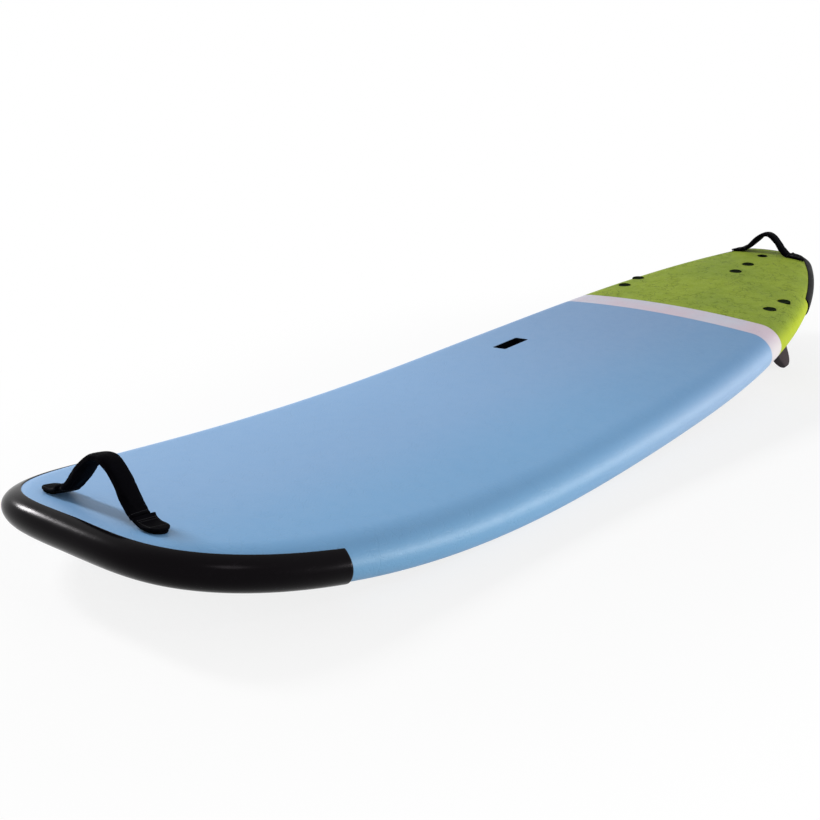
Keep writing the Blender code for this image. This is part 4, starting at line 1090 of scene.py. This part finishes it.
# CAD pieces whose shape is right keep it and take the finer finishes
kept = dict(
    foam_core_middle=beadFoam, foam_core_port=beadFoam, foam_core_starboard=beadFoam,
    stringer_port=stringerPly, stringer_starboard=stringerPly, carry_recess=blackPlastic,
    leash_plug=blackPlastic, leash_pin=steelMetal,
)
for label, _ in boltPlaces():
    kept[label + "_insert"] = brassMetal
    kept[label + "_sleeve"] = blackPlastic
for name, coat in kept.items():
    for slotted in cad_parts[name].material_slots:
        slotted.material = coat
print("fins and fittings done")


# Studio: pale floor, soft light and the camera

studio = dict(
    floorSize=14.0, floorDrop=0.0003, floorTone=(0.90, 0.90, 0.90), floorGrain=(0.86, 0.86, 0.86),
    floorGlow=0.80, ambient=0.36, lamps=dict(   # place, aim, size and power of each
        starboardKey=((1.42, -4.8, 3.15), (0.1, 0.0, 0.1), (0.86, 1.25), 285.0),
        portFill=((-1.7, 2.8, 0.30), (-0.4, 0.3, 0.06), (1.6, 0.40), 70.0),
        portTop=((0.6, 2.6, 3.2), (0.3, 0.0, 0.1), (0.9, 0.9), 10.0),
    ),
)


def seenShare(tree):   # 1 for a ray that shows the picture itself, straight, by a mirror or through glass
    rays = tree.nodes.new("ShaderNodeLightPath")
    camera, glossy, through = (Wire(tree, rays.outputs[kind]) for kind in (
        "Is Camera Ray", "Is Glossy Ray", "Is Transmission Ray"))
    return camera.most(glossy).most(through)


def floorFinish():
    coat = Finish("studioFloor")
    x, y, _ = coat.split(coat.place)
    away = ((x * 0.55).power(2.0) + (y * 1.10).power(2.0)).power(0.5).ramp(0.45, 1.15)
    coat.cover(coat.noise(300.0) * 0.04, studio["floorTone"], studio["floorGrain"], 0.9)
    glow = coat.node("ShaderNodeEmission", inputs={"Color": white, "Strength": 1.0})
    share = seenShare(coat.tree) * (studio["floorGlow"] + (1.0 - studio["floorGlow"]) * away)
    both = coat.node("ShaderNodeMixShader", inputs={
        0: share, 1: Wire(coat.tree, coat.shader.outputs[0]), 2: glow})
    plug(coat.tree, both, coat.tree.nodes["Material Output"].inputs["Surface"])
    return coat.material


def buildStudio():
    half = studio["floorSize"] / 2.0
    work = bmesh.new()
    work.faces.new([work.verts.new((x, y, -studio["floorDrop"])) for x, y in (
        (-half, -half), (half, -half), (half, half), (-half, half))])
    mesh = meshOf("studioFloor", work)
    mesh.materials.append(floorFinish())
    makeObject("studioFloor", mesh)
    for name, (place, aim, size, power) in studio["lamps"].items():
        data = bpy.data.lights.new(name, "AREA")
        data.shape = "RECTANGLE"
        data.size, data.size_y = size
        data.energy = power
        made = makeObject(name, data)
        made.location = place
        made.rotation_euler = (Vector(aim) - Vector(place)).to_track_quat("-Z", "Y").to_euler()
    world = bpy.data.worlds.new("studioWorld")
    world.use_nodes = True
    bpy.context.scene.world = world
    back = world.node_tree.nodes["Background"]
    plug(world.node_tree, white, back.inputs["Color"])
    strength = seenShare(world.node_tree) * (1.0 - studio["ambient"]) + studio["ambient"]
    plug(world.node_tree, strength, back.inputs["Strength"])


view = dict(
    eye=(2.0282575, 1.14816065, 0.82295239), aim=(0.39743345, -0.07310046, 0.0843865),   # board axes
    roll=0.005593, lens=52.41,
)


def addCamera():
    ahead = (Vector(view["aim"]) - Vector(view["eye"])).normalized()
    right = ahead.cross(upward).normalized()
    above = right.cross(ahead)
    side = right * cos(view["roll"]) + above * sin(view["roll"])
    top = above * cos(view["roll"]) - right * sin(view["roll"])
    place = Matrix((side, top, -ahead)).transposed().to_4x4()
    place.translation = Vector(view["eye"])
    data = bpy.data.cameras.new("studioCamera")
    data.lens = view["lens"]
    camera = makeObject("studioCamera", data)
    camera.matrix_world = boardPlace @ place
    bpy.context.scene.camera = camera


buildStudio()
addCamera()
bpy.context.scene.view_settings.view_transform = "Standard"
print("studio set")
